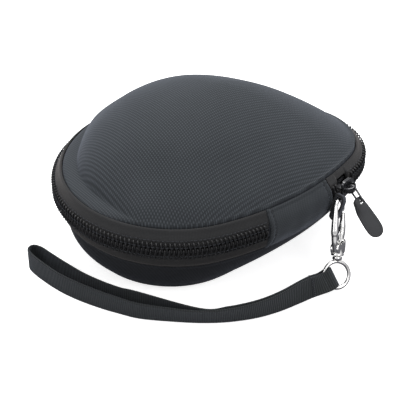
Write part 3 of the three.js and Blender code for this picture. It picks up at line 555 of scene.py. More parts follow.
def shell(name, half, depths, mat, slot_name, node, drop_rings=0):
    """A closed layer between two inward offsets of a half of the case."""
    body, surface, pole, pole_normal = half
    normals = relax(surface_normals(surface, pole), 2 if depths[1] < 2 else 8)
    rings = len(surface) - drop_rings
    surface, normals = surface[:rings], normals[:rings]
    verts, faces = [], []
    for side, depth in enumerate(depths):
        base = side * (1 + rings * STATIONS)
        verts.append((pole - pole_normal * depth)[None])
        verts.append((surface - normals * depth).reshape(-1, 3))
        for i in range(STATIONS):
            faces.append((base, base + 1 + i, base + 1 + (i + 1) % STATIONS))
        faces += grid_faces(rings, STATIONS, False, True, base + 1)
    outer_edge = 1 + (rings - 1) * STATIONS
    inner_edge = outer_edge + 1 + rings * STATIONS
    for i in range(STATIONS):
        j = (i + 1) % STATIONS
        faces.append((outer_edge + i, outer_edge + j, inner_edge + j, inner_edge + i))
    assign(make(name, (np.vstack(verts), faces), mat, sharp=50), body, slot_name, node)


DOME = dome_surface()
LID = ("lid", DOME, np.array([APEX_X, 0, DOME[0][:, 2].max() + 0.04]), UP)
shell("lid_fabric", LID, (0.0, 0.8), M_DOME, "dome_fabric", "lid_cover")
shell("lid_foam", LID, (1.1, 4.1), M_FOAM, "foam", "lid_shell", drop_rings=3)
shell("lid_knit_lining", LID, (4.6, 5.4), M_LINING, "lining", "lid_lining", drop_rings=4)
BASE = ("base", base_surface(), np.array([APEX_X, 0, 0.0]), -UP)
shell("base_fabric", BASE, (0.0, 0.8), M_BASE, "base_fabric", "base_cover")
shell("base_foam", BASE, (1.1, 3.3), M_FOAM, "foam", "base_shell")
shell("base_knit_lining", BASE, (4.1, 4.8), M_LINING, "lining", "base_lining")


# ---------------------------------------------------------------- bindings and zip tapes
def run_along(curve):
    return np.concatenate([[0], np.cumsum(np.linalg.norm(np.diff(curve, axis=0), axis=1))])


def sweep(name, stations, profile, mat, closed=False):
    """profile(s, chain depth) gives a closed list of (outward offset, depth below rim)."""
    points, normals, depths = outline(stations)
    rings, wv = [], []
    for s, point, normal, depth in zip(stations, points, normals, depths):
        curve = catmull(profile(s, depth), 3, closed=True)
        rings.append(np.column_stack([point + normal * curve[:, :1], RIM_Z - curve[:, 1]]))
        count = len(curve)
        wv.append(np.column_stack([np.full(count, s), run_along(curve), np.zeros(count)]))
    return make(name, loft(rings, closed), mat, sharp=45, wv=wv)


LID_BINDING = [(-0.4, 0.85), (-0.1, 1.35), (-1.5, 2.9), (-3.1, 4.2), (-3.75, 3.75), (-2.2, 2.3)]
BASE_BINDING = [(-0.85, 22.5), (-0.85, 21.95), (-3.0, 21.75), (-5.1, 21.95), (-5.1, 22.5),
                (-3.0, 22.72)]
for half, profile in (("lid", LID_BINDING), ("base", BASE_BINDING)):
    ob = sweep(half + "_inner_binding", S_AROUND[::2], lambda *_: profile, M_BIND, closed=True)
    assign(ob, half, "binding", half + "_binding")

ZIP_S0 = s_of(PANEL_DEG1 + 0.35 * DEG_PER_MM)
ZIP_S1 = TOTAL + s_of(PANEL_DEG0 - 0.35 * DEG_PER_MM)
SLIDER_S = s_of(SLIDER_DEG)
NOTCH = (SLIDER_S - 5.4, SLIDER_S + 5.4)  # the upper tape is cut short round the slider


def upper_profile(s, chain):
    low = chain - CHAIN_GAP / 2
    top = low - ROW_H
    from_notch = NOTCH[0] - s if s < SLIDER_S else s - NOTCH[1]
    whole = smooth((from_notch + 1.2) / 1.0)
    full = np.array([(0.3, 0.35), (0.75, -0.12), (1.5, 0.35), (2.3, top * 0.45),
                     (3.25, top * 0.75), (TAPE_OUT - 0.15, top - 0.1), (TAPE_OUT, top + 1.2),
                     (TAPE_OUT, low), (TAPE_IN, low), (TAPE_IN, top + 1.0),
                     (2.4, top * 0.6 + 1.1), (1.1, top * 0.25 + 1.1)])
    cut = np.array([(0.3, 0.35), (0.75, -0.12), (1.3, 0.4), (1.9, 1.3), (2.35, 2.0), (2.6, 2.5),
                    (2.75, 2.75), (2.7, 2.95), (2.2, 3.1), (1.8, 2.9), (1.2, 2.3), (0.6, 1.5)])
    return full * whole + cut * (1 - whole)


def lower_profile(_, chain):
    top = chain + CHAIN_GAP / 2
    low = top + ROW_H
    mid = (low + BAND_BOTTOM) / 2
    return [(TAPE_OUT, top), (TAPE_OUT, top + 2), (TAPE_OUT + 0.05, low + 0.5),
            (3.75, low + 2.0), (2.6, mid + 1.6), (0.95, BAND_BOTTOM - 0.9),
            (0.45, BAND_BOTTOM - 0.2), (-0.3, BAND_BOTTOM - 0.45), (1.6, mid + 1.0),
            (2.8, low + 1.8), (TAPE_IN, low + 0.2), (TAPE_IN, top)]


# finer steps past the notch
zip_s = np.concatenate([np.arange(ZIP_S0, NOTCH[1] + 3, 0.35),
                        np.arange(NOTCH[1] + 3.6, ZIP_S1, 1.1), [ZIP_S1]])
ob = sweep("upper_zip_tape", zip_s, upper_profile, M_TAPE_UPPER)
assign(ob, "lid", "tape", "zip_tape_upper")
ob = sweep("lower_zip_tape", zip_s, lower_profile, M_TAPE_LOWER_PAINTED_SHADE)
assign(ob, "base", "tape", "zip_tape_lower")

# ---------------------------------------------------------------- coil teeth
PITCH = 2.1
# one turn of filament: along the rim, outward offset, height from the chain's middle
TURN = [(-0.78, 4.5, 4.15), (-0.66, 5.15, 4.35), (-0.5, 5.55, 3.9), (-0.32, 5.72, 2.9),
        (-0.12, 5.76, 1.7), (0.04, 5.74, 0.6), (0.1, 5.7, -0.1), (0.1, 5.45, -0.5),
        (0.12, 5.05, -0.35), (0.2, 4.72, 0.6), (0.34, 4.62, 2.2), (0.5, 4.55, 3.6)]
TURN_R = [0.36, 0.4, 0.42, 0.38, 0.36, 0.4, 0.46, 0.46, 0.4, 0.36, 0.34, 0.32]


def teeth(side, s0, s1, skip=None):
    """Turns between s0 and s1; side is +1 for the upper row, -1 for the lower row."""
    turn = catmull(TURN, 2)
    radius = np.interp(np.linspace(0, 1, len(turn)), np.linspace(0, 1, len(TURN_R)), TURN_R)
    parts = []
    for i in range(int((ZIP_S1 - ZIP_S0 - 1.6) / PITCH)):
        s = ZIP_S0 + 1.2 + i * PITCH + (0 if side > 0 else PITCH / 2)
        if s < s0 or s > s1 or (skip and skip[0] < s < skip[1]):
            continue
        _, normal, depth = outline([s])
        points = band_points(s + turn[:, 0], turn[:, 1], depth[0] - side * turn[:, 2])
        parts.append(tube(points, radius, 6, up=(normal[0][1], -normal[0][0], 0)))
    return joined(parts)


ob = make("upper_coil_row", teeth(1, NOTCH[1] + 0.3, ZIP_S1), M_COIL)
assign(ob, "lid", "coil", "zip_row_upper")
ob = make("upper_coil_row_end", teeth(1, ZIP_S0, NOTCH[0] - 0.3), M_COIL)
assign(ob, "lid", "coil", "zip_row_upper_end")
ob = make("lower_coil_row",
          teeth(-1, ZIP_S0, ZIP_S1, skip=(SLIDER_S - 4.9, SLIDER_S + 4.9)), M_COIL)
assign(ob, "base", "coil", "zip_row_lower")


def stitches(starts, offset, below_chain):
    """A line of stitches on the zip, each arched outward."""
    length, radius, lift = 1.5, 0.17, 0.12
    u = np.linspace(-0.5, 0.5, 5)
    parts = []
    for s in starts:
        _, _, depth = outline([s])
        arched = offset + lift * np.cos(u * math.pi) - 0.05
        points = band_points(s + u * length, arched, np.full(5, depth[0] + below_chain))
        parts.append(tube(points, radius * np.array([0.6, 1, 1.05, 1, 0.6]), 5))
    return joined(parts)


# two lines of stitches a row: on the coil and on the tape beside it
stitch_s = np.arange(NOTCH[1] + 2, ZIP_S1 - 1.5, 2.1)
for name, body, on_coil, on_tape, tape_lift in (("upper_coil_sewing", "lid", -2.6, -5.35, 0.1),
                                                ("lower_coil_sewing", "base", 2.6, 5.4, 0.12)):
    mesh = joined([stitches(stitch_s, ROW_OUT - 0.02, on_coil),
                   stitches(stitch_s + 0.3, TAPE_OUT + tape_lift, on_tape)])
    assign(make(name, mesh, M_THREAD), body, "thread")

# ---------------------------------------------------------------- hinge panel
PANEL_S0, PANEL_S1 = s_of(PANEL_DEG0), s_of(PANEL_DEG1)
# outer faces from top to bottom: outward offset, depth below the rim
PANEL_PROFILE = [(0.35, 0.05), (1.4, 0.75), (2.7, 2.1), (3.8, 3.3), (4.8, 4.6), (5.45, 5.8),
                 (5.85, 7.1), (6.15, 8.6), (6.25, 10.2), (6.05, 12.2), (5.75, 14.2),
                 (5.1, 16.2), (4.1, 18.3), (2.9, 20.4), (1.7, 22.2), (0.7, 23.5)]
STRIP_PROFILE = [(1.7, 3.75), (2.5, 4.65), (3.3, 5.6), (3.95, 6.5), (4.25, 7.4), (4.45, 8.6),
                 (4.5, 9.9), (4.4, 12.0), (4.0, 14.0), (3.5, 15.6), (2.3, 17.9), (0.75, 20.4)]


def profile_frame(profile):
    """Smooth curve of a profile, its outward normals and the run along it."""
    curve = catmull(profile, 4)
    tangent = unit(np.gradient(curve, axis=0))
    return curve, np.column_stack([tangent[:, 1], -tangent[:, 0]]), run_along(curve)


def cloth_strip(name, profile, thick, steps, mat, relief=None):
    """Strip of cloth across the panel's span; relief(to one end, to the other, run) lifts it."""
    outer, normals, run = profile_frame(profile)
    m = len(outer)
    rings, wv = [], []
    for s in np.linspace(PANEL_S0, PANEL_S1, steps):
        lift = relief(s - PANEL_S0, PANEL_S1 - s, run) if relief else np.zeros(m)
        ring = np.vstack([outer + normals * lift[:, None], (outer - normals * thick)[::-1]])
        rings.append(band_points(np.full(2 * m, s), ring[:, 0], ring[:, 1]))
        wv.append(np.column_stack([np.full(2 * m, s), np.concatenate([run, run[::-1]]),
                                   np.zeros(2 * m)]))
    faces = grid_faces(steps, 2 * m, False, True)
    for base in (0, (steps - 1) * 2 * m):
        for k in range(m - 1):
            faces.append((base + k, base + k + 1, base + 2 * m - 2 - k, base + 2 * m - 1 - k))
    return make(name, (np.array(rings).reshape(-1, 3), faces), mat, sharp=60, wv=wv)


def panel_relief(to_start, to_end, run):
    """Hems and seam grooves along the edges, a soft bulge and faint ripples between."""
    total = run[-1]
    lift = np.zeros_like(run)
    for d in (to_start, to_end):
        lift += 0.38 * math.exp(-((d - 1.1) / 0.9) ** 2) - 0.3 * math.exp(-((d - 2.7) / 0.5) ** 2)
        if d < 0.5:
            lift -= 0.35 * (1 - d / 0.5)
    edge = np.minimum(run, total - run)
    lift += 0.28 * np.exp(-((run - 0.9) / 0.7) ** 2) - 0.18 * np.exp(-((run - 2.3) / 0.5) ** 2)
    middle = math.exp(-(((to_start - to_end) / 2) / 12.0) ** 2)
    lift += 0.5 * middle * np.exp(-((run / total - 0.62) / 0.25) ** 2)
    ripple = 0.1 * np.sin(to_start * 0.55 + run * 0.21)
    return lift + ripple * np.clip(edge / 4, 0, 1) * min(1, min(to_start, to_end) / 5)


panel = cloth_strip("hinge_panel", PANEL_PROFILE, 1.15, 130, M_PANEL, panel_relief)
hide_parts("hinge_panel_upper", "hinge_panel_lower")
strip = cloth_strip("hinge_inner_strip", STRIP_PROFILE, 0.65, 60, M_LINING)
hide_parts("hinge_lining_upper", "hinge_lining_lower")


def panel_seams():
    """Stitches down the seams beside the panel's two ends."""
    curve, normals, panel_run = profile_frame(PANEL_PROFILE)
    u = np.linspace(0, 1, 6)
    parts = []
    for s in (PANEL_S0 + 2.7, PANEL_S1 - 2.7):
        relief = panel_relief(s - PANEL_S0, PANEL_S1 - s, panel_run)
        for start in np.arange(1.2, panel_run[-1] - 2, 2.3):
            run = start + 1.7 * u
            lift = np.interp(run, panel_run, relief) + 0.2 * np.sin(math.pi * u) - 0.06
            offset, depth = (np.interp(run, panel_run, curve[:, k])
                             + np.interp(run, panel_run, normals[:, k]) * lift for k in (0, 1))
            parts.append(tube(band_points(np.full(6, s), offset, depth),
                              0.2 * np.array([0.6, 1, 1.1, 1.1, 1, 0.6]), 5))
    return joined(parts)


seam = make("hinge_panel_seams", panel_seams(), M_THREAD)
turn = np.linspace(-1.3, 1.3, 6)
knot_path = band_points(PANEL_S0 + 3.3 + 0.25 * np.cos(turn), 6.45 + 0.12 * abs(np.sin(turn)),
                        12.6 + 0.45 * np.sin(turn))
knot = make("hinge_panel_knot", tube(knot_path, 0.2, 5), M_KNOT)
assign(knot, "base", "thread")
point, normal, _ = outline([(PANEL_S0 + PANEL_S1) / 2])
for piece in (panel, strip, seam):
    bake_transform(piece)

# ---------------------------------------------------------------- slider, wire, pull
point, normal, _ = outline([SLIDER_S])
OUTWARD = np.array([normal[0][0], normal[0][1], 0.0])
ALONG = np.array([-normal[0][1], normal[0][0], 0.0])
# slider frame: x along the rim, y up, z outward
SLIDER = (np.array([point[0][0], point[0][1], RIM_Z - CHAIN_TIP]), ALONG, UP, OUTWARD)


def bent(points):
    """Points of the slider frame bent to the rim's curve."""
    points = points.copy()
    points[:, 2] -= points[:, 0] ** 2 / (2 * (SIDE_R + 6))
    return points


def bent_slab(loop, z0, z1, bevel, segs=3):
    verts, faces = slab([loop], z0, z1, bevel, segs)
    return bent(verts), faces


def slider_bow():
    """The bowed bar over the pull, wider in its middle."""
    arch = catmull([(-4.0, 7.3), (-3.7, 8.6), (-2.9, 10.2), (-1.5, 11.05), (0, 11.25),
                    (1.5, 11.05), (2.9, 10.2), (3.7, 8.6), (4.0, 7.3)], 6)
    tangent = unit(np.gradient(arch, axis=0))
    normals = np.column_stack([tangent[:, 1], -tangent[:, 0]])
    rings = []
    for mid, out, u in zip(arch, normals, np.linspace(-1, 1, len(arch))):
        half_width = 1.15 + 0.8 * (1 - abs(u)) ** 0.6
        ring = []
        for k in range(16):
            angle = 2 * math.pi * k / 16
            x, y = math.cos(angle), math.sin(angle)
            x = math.copysign(abs(x) ** 0.6, x) * half_width
            y = math.copysign(abs(y) ** 0.6, y) * 0.5
            spot = mid + out * y
            ring.append((spot[0], x, spot[1]))
        rings.append(ring)
    return loft(rings)


def slider_body():
    plate = catmull([(-4.9, 3.1), (-4.3, 4.2), (-3.0, 4.7), (0.4, 4.4), (3.3, 3.6), (4.7, 2.2),
                     (5.1, 0), (4.7, -2.2), (3.3, -3.6), (0.4, -4.4), (-2.6, -4.7),
                     (-4.1, -4.0), (-4.9, -2.6), (-4.6, 0)], 4, closed=True) * [1.08, 1.03]
    back = plate * [0.85, 0.82]
    back[:, 1] = np.minimum(back[:, 1], 2.7)
    post = [(-4.0, -0.33), (-0.6, -0.33), (-0.6, 0.33), (-4.0, 0.33)]
    parts = [bent_slab(plate, 6.6, 7.75, 0.4), bent_slab(back, 1.65, 2.55, 0.25),
             bent_slab(post, 2.3, 6.9, 0.08, segs=1)]
    for sign in (1, -1):  # ribs behind the outer plate's long edges
        edge = catmull([(-3.6, sign * 4.25), (-1.0, sign * 4.3), (2.0, sign * 3.95),
                        (3.6, sign * 3.1)], 6)
        last = len(edge) - 1
        radius = np.interp(np.arange(last + 1), [0, 2, last - 2, last], [0.22, 0.4, 0.4, 0.22])
        parts.append(tube(bent(np.column_stack([edge, np.full(last + 1, 6.42)])), radius, 8))
    parts.append(slider_bow())
    nose = catmull([(3.2, 1.4), (4.6, 1.0), (5.0, 0), (4.6, -1.0), (3.2, -1.4), (2.9, 0)], 4,
                   closed=True)
    parts.append(bent_slab(nose, 7.5, 8.5, 0.3))
    return placed(joined(parts), SLIDER)


assign(make("zip_slider", slider_body(), M_PAINT, sharp=35), "slider", "slider_paint",
       "slider_body")

PULL_TILT = math.radians(46)  # how far the pull hangs below straight out
HINGE_OUT = np.array([0, 0, 10.35])
PULL_DIR = np.array([0, -math.sin(PULL_TILT), math.cos(PULL_TILT)])
PULL_NORMAL = np.array([0, math.cos(PULL_TILT), math.sin(PULL_TILT)])


def wire_loop():
    """Oval of wire: a half turn round the bow, a half turn through the pull."""
    path = []
    for centre, radius, start in ((0, 1.9, math.pi / 2), (6.4, 1.7, -math.pi / 2)):
        for a in np.radians(np.arange(0, 181, 12)) + start:
            path.append(HINGE_OUT + (centre + radius * math.cos(a)) * PULL_DIR
                        + radius * math.sin(a) * PULL_NORMAL)
    return tube(place(path, SLIDER), 0.55, 12, closed=True, up=ALONG)


assign(make("pull_wire_loop", wire_loop(), M_PAINT), "wire", "slider_paint", "pull_wire")

# the pull's outline and hole: along the pull, across it
TAB = catmull([(5.4, -2.0), (5.25, 0), (5.4, 2.0), (6.4, 2.95), (9.5, 3.45), (14, 3.9),
               (20, 4.2), (24.5, 4.05), (27, 3.1), (28.2, 1.6), (28.5, 0), (28.2, -1.6),
               (27, -3.1), (24.5, -4.05), (20, -4.2), (14, -3.9), (9.5, -3.45),
               (6.4, -2.95)], 5, closed=True)
HOLE = catmull([(7.0, -1.3), (7.0, 1.3), (7.5, 1.7), (8.8, 1.7), (9.3, 1.3), (9.3, -1.3),
                (8.8, -1.7), (7.5, -1.7)], 3, closed=True)


def rubber_pull():
    parts = [slab([TAB, HOLE], -1.0, 1.0, 0.75, segs=4)]
    bead = np.array([((x - 17) * 0.86 + 17.8, y * 0.74) for x, y in TAB])
    for z in (0.98, -0.98):  # a raised bead on both faces, set in from the edge
        parts.append(tube(np.column_stack([bead, np.full(len(bead), z)]), 0.16, 6, closed=True))
    verts, faces = joined(parts)
    x, y, z = verts.T
    round_hole = (x > 6.8) & (x < 9.5) & (np.abs(y) <= 1.75)
    y = y - 1.7 * smooth((x - 4.5) / 2.0) * ~round_hole
    twist = math.radians(-32) * smooth((x - 6.0) / 9.0)
    verts = np.column_stack([x, y * np.cos(twist) + z * np.sin(twist),
                             -y * np.sin(twist) + z * np.cos(twist)])
    hinge = place(HINGE_OUT[None], SLIDER)[0]
    direction = place(PULL_DIR[None], (np.zeros(3), ALONG, UP, OUTWARD))[0]
    return place(verts, (hinge, direction, ALONG, np.cross(direction, ALONG))), faces


assign(make("rubber_pull", rubber_pull(), M_RUBBER, sharp=40), "tab", "rubber", "pull_tab")

# ---------------------------------------------------------------- webbing loop
LOOP_DEG, LOOP_OFF, LOOP_TOP_Z, LOOP_W, LOOP_LEN = -57.35, 6.65, 41.9, 4.4, 13.6
CLASP_X = unit(np.array([0.672, 0.54, -0.506]))  # across the clasp, in the plane of its hook
HANG = np.array([0, 0, -1.0])
HANG = unit(HANG - CLASP_X * (HANG @ CLASP_X))
LOOP_OUT = unit(np.cross(HANG, CLASP_X))
point, normal, _ = outline([s_of(LOOP_DEG)])
LOOP_TOP = np.array([*(point[0] + normal[0] * LOOP_OFF), LOOP_TOP_Z])

# outlines seen edge on: away from the case, down the loop
loop_outer = catmull(
    [(0, 0), (-0.05, 5),
     *raised(LOOP_LEN, (0, -2.2), (0.6, -0.9), (1.6, -0.2), (2.25, 0), (2.9, -0.2), (3.9, -0.9),
             (4.6, -2.2)),
     (5.2, 6), (5.2, 2.6), (4.4, 0.7), (3.2, 0), (1.6, -0.1)], 3, closed=True)
loop_inner = catmull(
    [(1.05, 1.15), (3.0, 1.1), (3.7, 1.5), (4.2, 2.8), (4.2, 6),
     *raised(LOOP_LEN, (3.55, -2.4), (3.1, -1.6), (2.25, -1.1), (1.4, -1.6), (1.05, -2.4)),
     (1.05, 6)], 3, closed=True)
loop_mesh = slab([loop_outer, loop_inner], -LOOP_W / 2, LOOP_W / 2, 0.22, segs=2)
ob = make("hanging_webbing_loop",
          placed(loop_mesh, (LOOP_TOP, LOOP_OUT, HANG, np.cross(LOOP_OUT, HANG))),
          M_LOOP, sharp=45, wv=loop_mesh[0])
assign(ob, "loop", "webbing_dark", "lanyard_loop")

# ---------------------------------------------------------------- clasp and ring
HOOK_TOP = LOOP_TOP + LOOP_OUT * 2.3 + HANG * 2.6
RING_C = np.array([65.6, -66.1, 8.2])
CLASP_Y = unit(HOOK_TOP - RING_C)
CLASP_Y = unit(CLASP_Y - CLASP_X * (CLASP_Y @ CLASP_X))
CLASP_LEN = (HOOK_TOP - RING_C) @ CLASP_Y
CLASP_O = HOOK_TOP - CLASP_Y * CLASP_LEN
CLASP_Z = np.cross(CLASP_X, CLASP_Y)
# clasp frame: origin in the ring, y up to the hook's top
CLASP = (CLASP_O, CLASP_X, CLASP_Y, CLASP_Z)
HOOK_R, BODY_Y = 4.55, 9.9
BEND_Y = CLASP_LEN - HOOK_R
PIVOT = (CLASP_O + CLASP_X * 3.4 + CLASP_Y * (BODY_Y + 6.7), CLASP_X, CLASP_Z, CLASP_Y)


def bar(points, per, radius_at, radii, sides=16, flat=1.0):
    """Round bar on a curve of the clasp's plane; radii are given at fractions of it."""
    curve = catmull(points, per)
    radius = np.interp(np.linspace(0, 1, len(curve)), radius_at, radii)
    path = np.column_stack([curve, np.zeros(len(curve))])
    return placed(tube(path, radius, sides, flat=flat), CLASP)


def clasp_slab(points, per, z0, z1, bevel, segs=3):
    return placed(slab([catmull(points, per, closed=True)], z0, z1, bevel, segs), CLASP)


def snap_hook():
    """Spine and hook in one bar, two cheeks with a filling between, and the round foot."""
    spine = (raised(BODY_Y, (-3.0, 2.6), (-4.1, 6.4), (-4.55, 10))
             + raised(BEND_Y, (-4.7, -13), (-4.75, -9), (-4.65, -4.5), (-4.55, 0),
                      (-3.95, 2.35), (-2.3, 3.95), (0, 4.55), (2.3, 3.95), (3.95, 2.3),
                      (4.5, 0.4), (4.55, -1.35)))
    parts = [bar(spine, 7, [0, 0.06, 0.16, 0.26, 0.36, 0.45, 0.56, 0.75, 0.92, 1.0],
                 [1.3, 1.6, 1.75, 2.0, 1.75, 1.2, 1.0, 0.98, 1.05, 0.85], flat=0.95)]
    cheek = raised(BODY_Y, (-4.3, 2.6), (-4.4, 4.4), (-3.2, 5.8), (-0.2, 6.0), (1.7, 7.6),
                   (3.2, 8.5), (4.6, 8.1), (5.15, 6.6), (5.1, 4.4), (4.5, 2.2), (2.9, 1.2),
                   (-2.9, 1.2))
    for z0, z1 in ((1.2, 2.2), (-2.2, -1.2)):
        parts.append(clasp_slab(cheek, 5, z0, z1, 0.42))
    filling = raised(BODY_Y, (-4.1, 2.8), (-4.2, 4.2), (-3.1, 5.5), (-1.2, 5.4), (0.4, 4.8),
                     (4.7, 4.5), (4.5, 2.3), (3.0, 1.4), (-3.0, 1.4))
    parts.append(clasp_slab(filling, 4, -1.3, 1.3, 0.1, segs=1))
    foot = raised(BODY_Y, (1.3, -0.05), (2.9, 0.0), (3.35, 0.25), (3.4, 0.7), (3.1, 1.3),
                  (2.7, 2.1), (2.3, 3.4), (1.4, 4.0))
    parts.append(lathe(foot, CLASP, 32))
    return joined(parts)


def snap_gate():
    """A tapered round lever with a knuckle on the rivet and a raised ridge on its +x side."""
    lever = (raised(BODY_Y, (3.3, 6.0), (3.8, 9.5), (4.4, 13))
             + raised(BEND_Y, (4.9, -9), (5.0, -5), (4.95, -2.15)))
    knuckle = [(0.72, -1.05), (1.35, -1.05), (1.55, -0.85), (1.55, 0.85), (1.35, 1.05),
               (0.72, 1.05)]
    ridge = raised(BODY_Y, (5.2, 11.2), (5.95, 12.6), (6.05, 14.6), (5.5, 16.2), (4.8, 14))
    return joined([bar(lever, 8, [0, 0.1, 0.3, 0.6, 0.8, 0.94, 1.0],
                       [1.0, 1.5, 1.9, 1.7, 1.35, 1.2, 0.85]),
                   lathe(knuckle, PIVOT, 28),
                   clasp_slab(ridge, 4, -0.75, 0.75, 0.3)])


assign(make("snap_hook", snap_hook(), M_CHROME, sharp=50), "clasp", "plated", "clasp_hook")
assign(make("snap_gate", snap_gate(), M_CHROME, sharp=50), "gate", "plated", "clasp_gate")

RIVET = [(0.02, -2.5), (0.55, -2.5), (0.95, -2.38), (0.95, -2.25), (0.55, -2.1), (0.55, 2.1),
         (0.95, 2.25), (0.95, 2.38), (0.55, 2.5), (0.02, 2.5)]
ob = make("gate_rivet", lathe(RIVET, PIVOT, 24), M_CHROME, sharp=40)
assign(ob, "clasp", "plated", "gate_pin")
LEAF = raised(BODY_Y, (-1.0, 9.0), (-0.6, 10.3), (0.4, 11.6), (1.5, 12.5), (2.1, 12.95))
ob = make("gate_leaf_spring", bar(LEAF, 5, [0, 1], [0.6, 0.6], sides=10, flat=0.3), M_STEEL,
          sharp=40)
assign(ob, "clasp", "spring_steel", "gate_spring")

RING_R, RING_TURN = 6.85, math.radians(-45)
cos_turn, sin_turn = math.cos(RING_TURN), math.sin(RING_TURN)
RING_X = CLASP_X * cos_turn - CLASP_Z * sin_turn
RING = (CLASP_O, RING_X, CLASP_Y, CLASP_X * sin_turn + CLASP_Z * cos_turn)
around = np.linspace(0, 2 * math.pi, 73)[:-1]
circle = np.column_stack([RING_R * np.cos(around), RING_R * np.sin(around), np.zeros(72)])
NECK = [(0.02, 6.9), (1.1, 6.95), (1.65, 7.35), (2.2, 7.7), (2.5, 8.3), (2.5, 9.1),
        (2.25, 9.45), (1.3, 9.55), (0.95, 9.7),
        *raised(BODY_Y, (0.95, 1.7), (1.7, 1.9), (1.75, 3.0), (1.3, 3.1), (0.02, 3.1))]
mesh = joined([placed(tube(circle, 0.98, 16, closed=True), RING), lathe(NECK, RING, 32)])
assign(make("swivel_ring", mesh, M_CHROME, sharp=40), "eye", "plated", "swivel_eye")

# ---------------------------------------------------------------- wrist strap
STRAP_T, STRAP_W = 1.05, 12.5
# stations: x, y, z of the lower edge, tilt in degrees, width; the first gives only x and y
DOUBLED = [(60.5, -67.9, 2.6, 62, 10.6), (51.3, -70.9, 1.1, 76, 11.4),
           (44.2, -72.8, 0.9, 84, STRAP_W), (31, -75.9, 0.9, 94, STRAP_W),
           (18.2, -77.0, 0.9, 102, STRAP_W), (4, -75.6, 0.9, 109, STRAP_W),
           (-9.1, -72.2, 0.9, 112, STRAP_W), (-23.6, -66.6, 0.9, 108, STRAP_W),
           (-37.1, -60.4, 0.9, 103, STRAP_W)]
# the single layer round the big end and back, on z = 0.9: x, y, tilt
BIGHT = [(-46.5, -54.4, 99), (-54.5, -47.6, 96), (-63.5, -38.6, 93), (-71, -29.2, 92),
         (-77.4, -18.6, 90), (-81.6, -9.5, 90), (-82.4, -4.6, 90), (-79.4, -2.4, 90),
         (-75.6, -5.4, 90), (-71.6, -12.4, 90), (-66, -22.2, 90), (-59, -33.2, 90),
         (-51.6, -42.6, 91), (-44.4, -50.4, 93), (-38.2, -55.4, 95)]
BIGHT = [(x, y, 0.9, tilt, STRAP_W) for x, y, tilt in BIGHT]
GAPS = [2.35, 1.15] + [0.7] * 7  # half the distance between the doubled layers


def station(point, along, across, width):
    return dict(point=point, along=along, across=across, width=width,
                normal=unit(np.cross(along, across)))


def stations(table):
    """Stations of a table, all but its first row."""
    out = []
    for i in range(1, len(table)):
        before, after = table[i - 1], table[min(len(table) - 1, i + 1)]
        along = unit(np.array([after[0] - before[0], after[1] - before[1], 0.0]))
        x, y, z, tilt, width = table[i]
        tilt = math.radians(tilt)
        across = np.array([along[1], -along[0], 0.0]) * math.cos(tilt) + UP * math.sin(tilt)
        out.append(station(np.array([x, y, z], float), along, across, width))
    return out


# the strap folds round the ring's wire, 30 degrees up from the ring's x
cos_fold, sin_fold = math.cos(math.radians(30)), math.sin(math.radians(30))
fold_dir = RING_X * cos_fold + CLASP_Y * sin_fold
wire_dir = CLASP_Y * cos_fold - RING_X * sin_fold
wire_mid = CLASP_O - RING_R * fold_dir
ring_end = station(wire_mid - 1.0 * fold_dir - wire_dir * 5.3, -fold_dir, wire_dir, 10.6)
ring_end["normal"] = unit(np.cross(-fold_dir, wire_dir))
doubled = [ring_end] + stations(DOUBLED)
single = stations([DOUBLED[-1], *BIGHT])


def edges(at, offset, back=0.0):
    """Lower and upper edge at a station, moved along its normal and back along the strap."""
    lower = at["point"] - at["along"] * back + at["normal"] * offset
    return lower, lower + at["across"] * at["width"]


pairs = list(zip(doubled, GAPS))
ribbon = [edges(at, -gap) for at, gap in pairs]
ribbon += [edges(at, 0) for at in single]
ribbon += [edges(at, gap) for at, gap in pairs[:-2][::-1]]
ribbon += [edges(ring_end, GAPS[0], back=4.0), edges(ring_end, 0, back=6.3),
           edges(ring_end, -GAPS[0], back=4.0)]


def strap():
    """The closed ribbon in even steps, with thicker woven edges and cross ribs; and its wv."""
    lower, upper = (catmull([pair[k] for pair in ribbon], 12, closed=True) for k in (0, 1))
    middle = (lower + upper) / 2
    steps = np.linalg.norm(np.roll(middle, -1, 0) - middle, axis=1)
    run = np.concatenate([[0], np.cumsum(steps)])
    want = np.linspace(0, run[-1], int(run[-1] / 0.29), endpoint=False)

    def evenly(curve):
        curve = np.vstack([curve, curve[:1]])
        return np.column_stack([np.interp(want, run, curve[:, k]) for k in range(3)])

    lower, upper = evenly(lower), evenly(upper)
    centre = (lower + upper) / 2
    tangent = unit(np.roll(centre, -1, 0) - np.roll(centre, 1, 0))
    width = np.linalg.norm(upper - lower, axis=1)
    across = (upper - lower) / width[:, None]
    normal = unit(np.cross(tangent, across))
    # cross-section: position from edge to edge, and half the thickness there
    position = np.concatenate([[-1.0, -0.97, -0.9, -0.82], np.linspace(-0.7, 0.7, 7),
                               [0.82, 0.9, 0.97, 1.0]])
    half = np.array([0.3, 0.44, 0.52, 0.5] + [0.47] * 7 + [0.5, 0.52, 0.44, 0.3])
    rib = 0.055 * np.sin(2 * np.pi * want / 1.15)
    half = half + rib[:, None] * (np.abs(position) < 0.93)
    sideways = across[:, None] * (position[None, :, None] * width[:, None, None] / 2)
    lift = normal[:, None] * half[:, :, None]
    rings = np.concatenate([centre[:, None] + sideways + lift,
                            (centre[:, None] + sideways - lift)[:, ::-1]], 1)
    wv = np.zeros_like(rings)
    wv[..., 0] = want[:, None]
    wv[..., 1] = np.concatenate([position, position[::-1]])[None] * 6.2
    return loft(rings, closed=True), wv


mesh, wv = strap()
assign(make("wrist_strap", mesh, M_STRAP, sharp=70, wv=wv), "strap", "webbing",
       "strap_webbing")


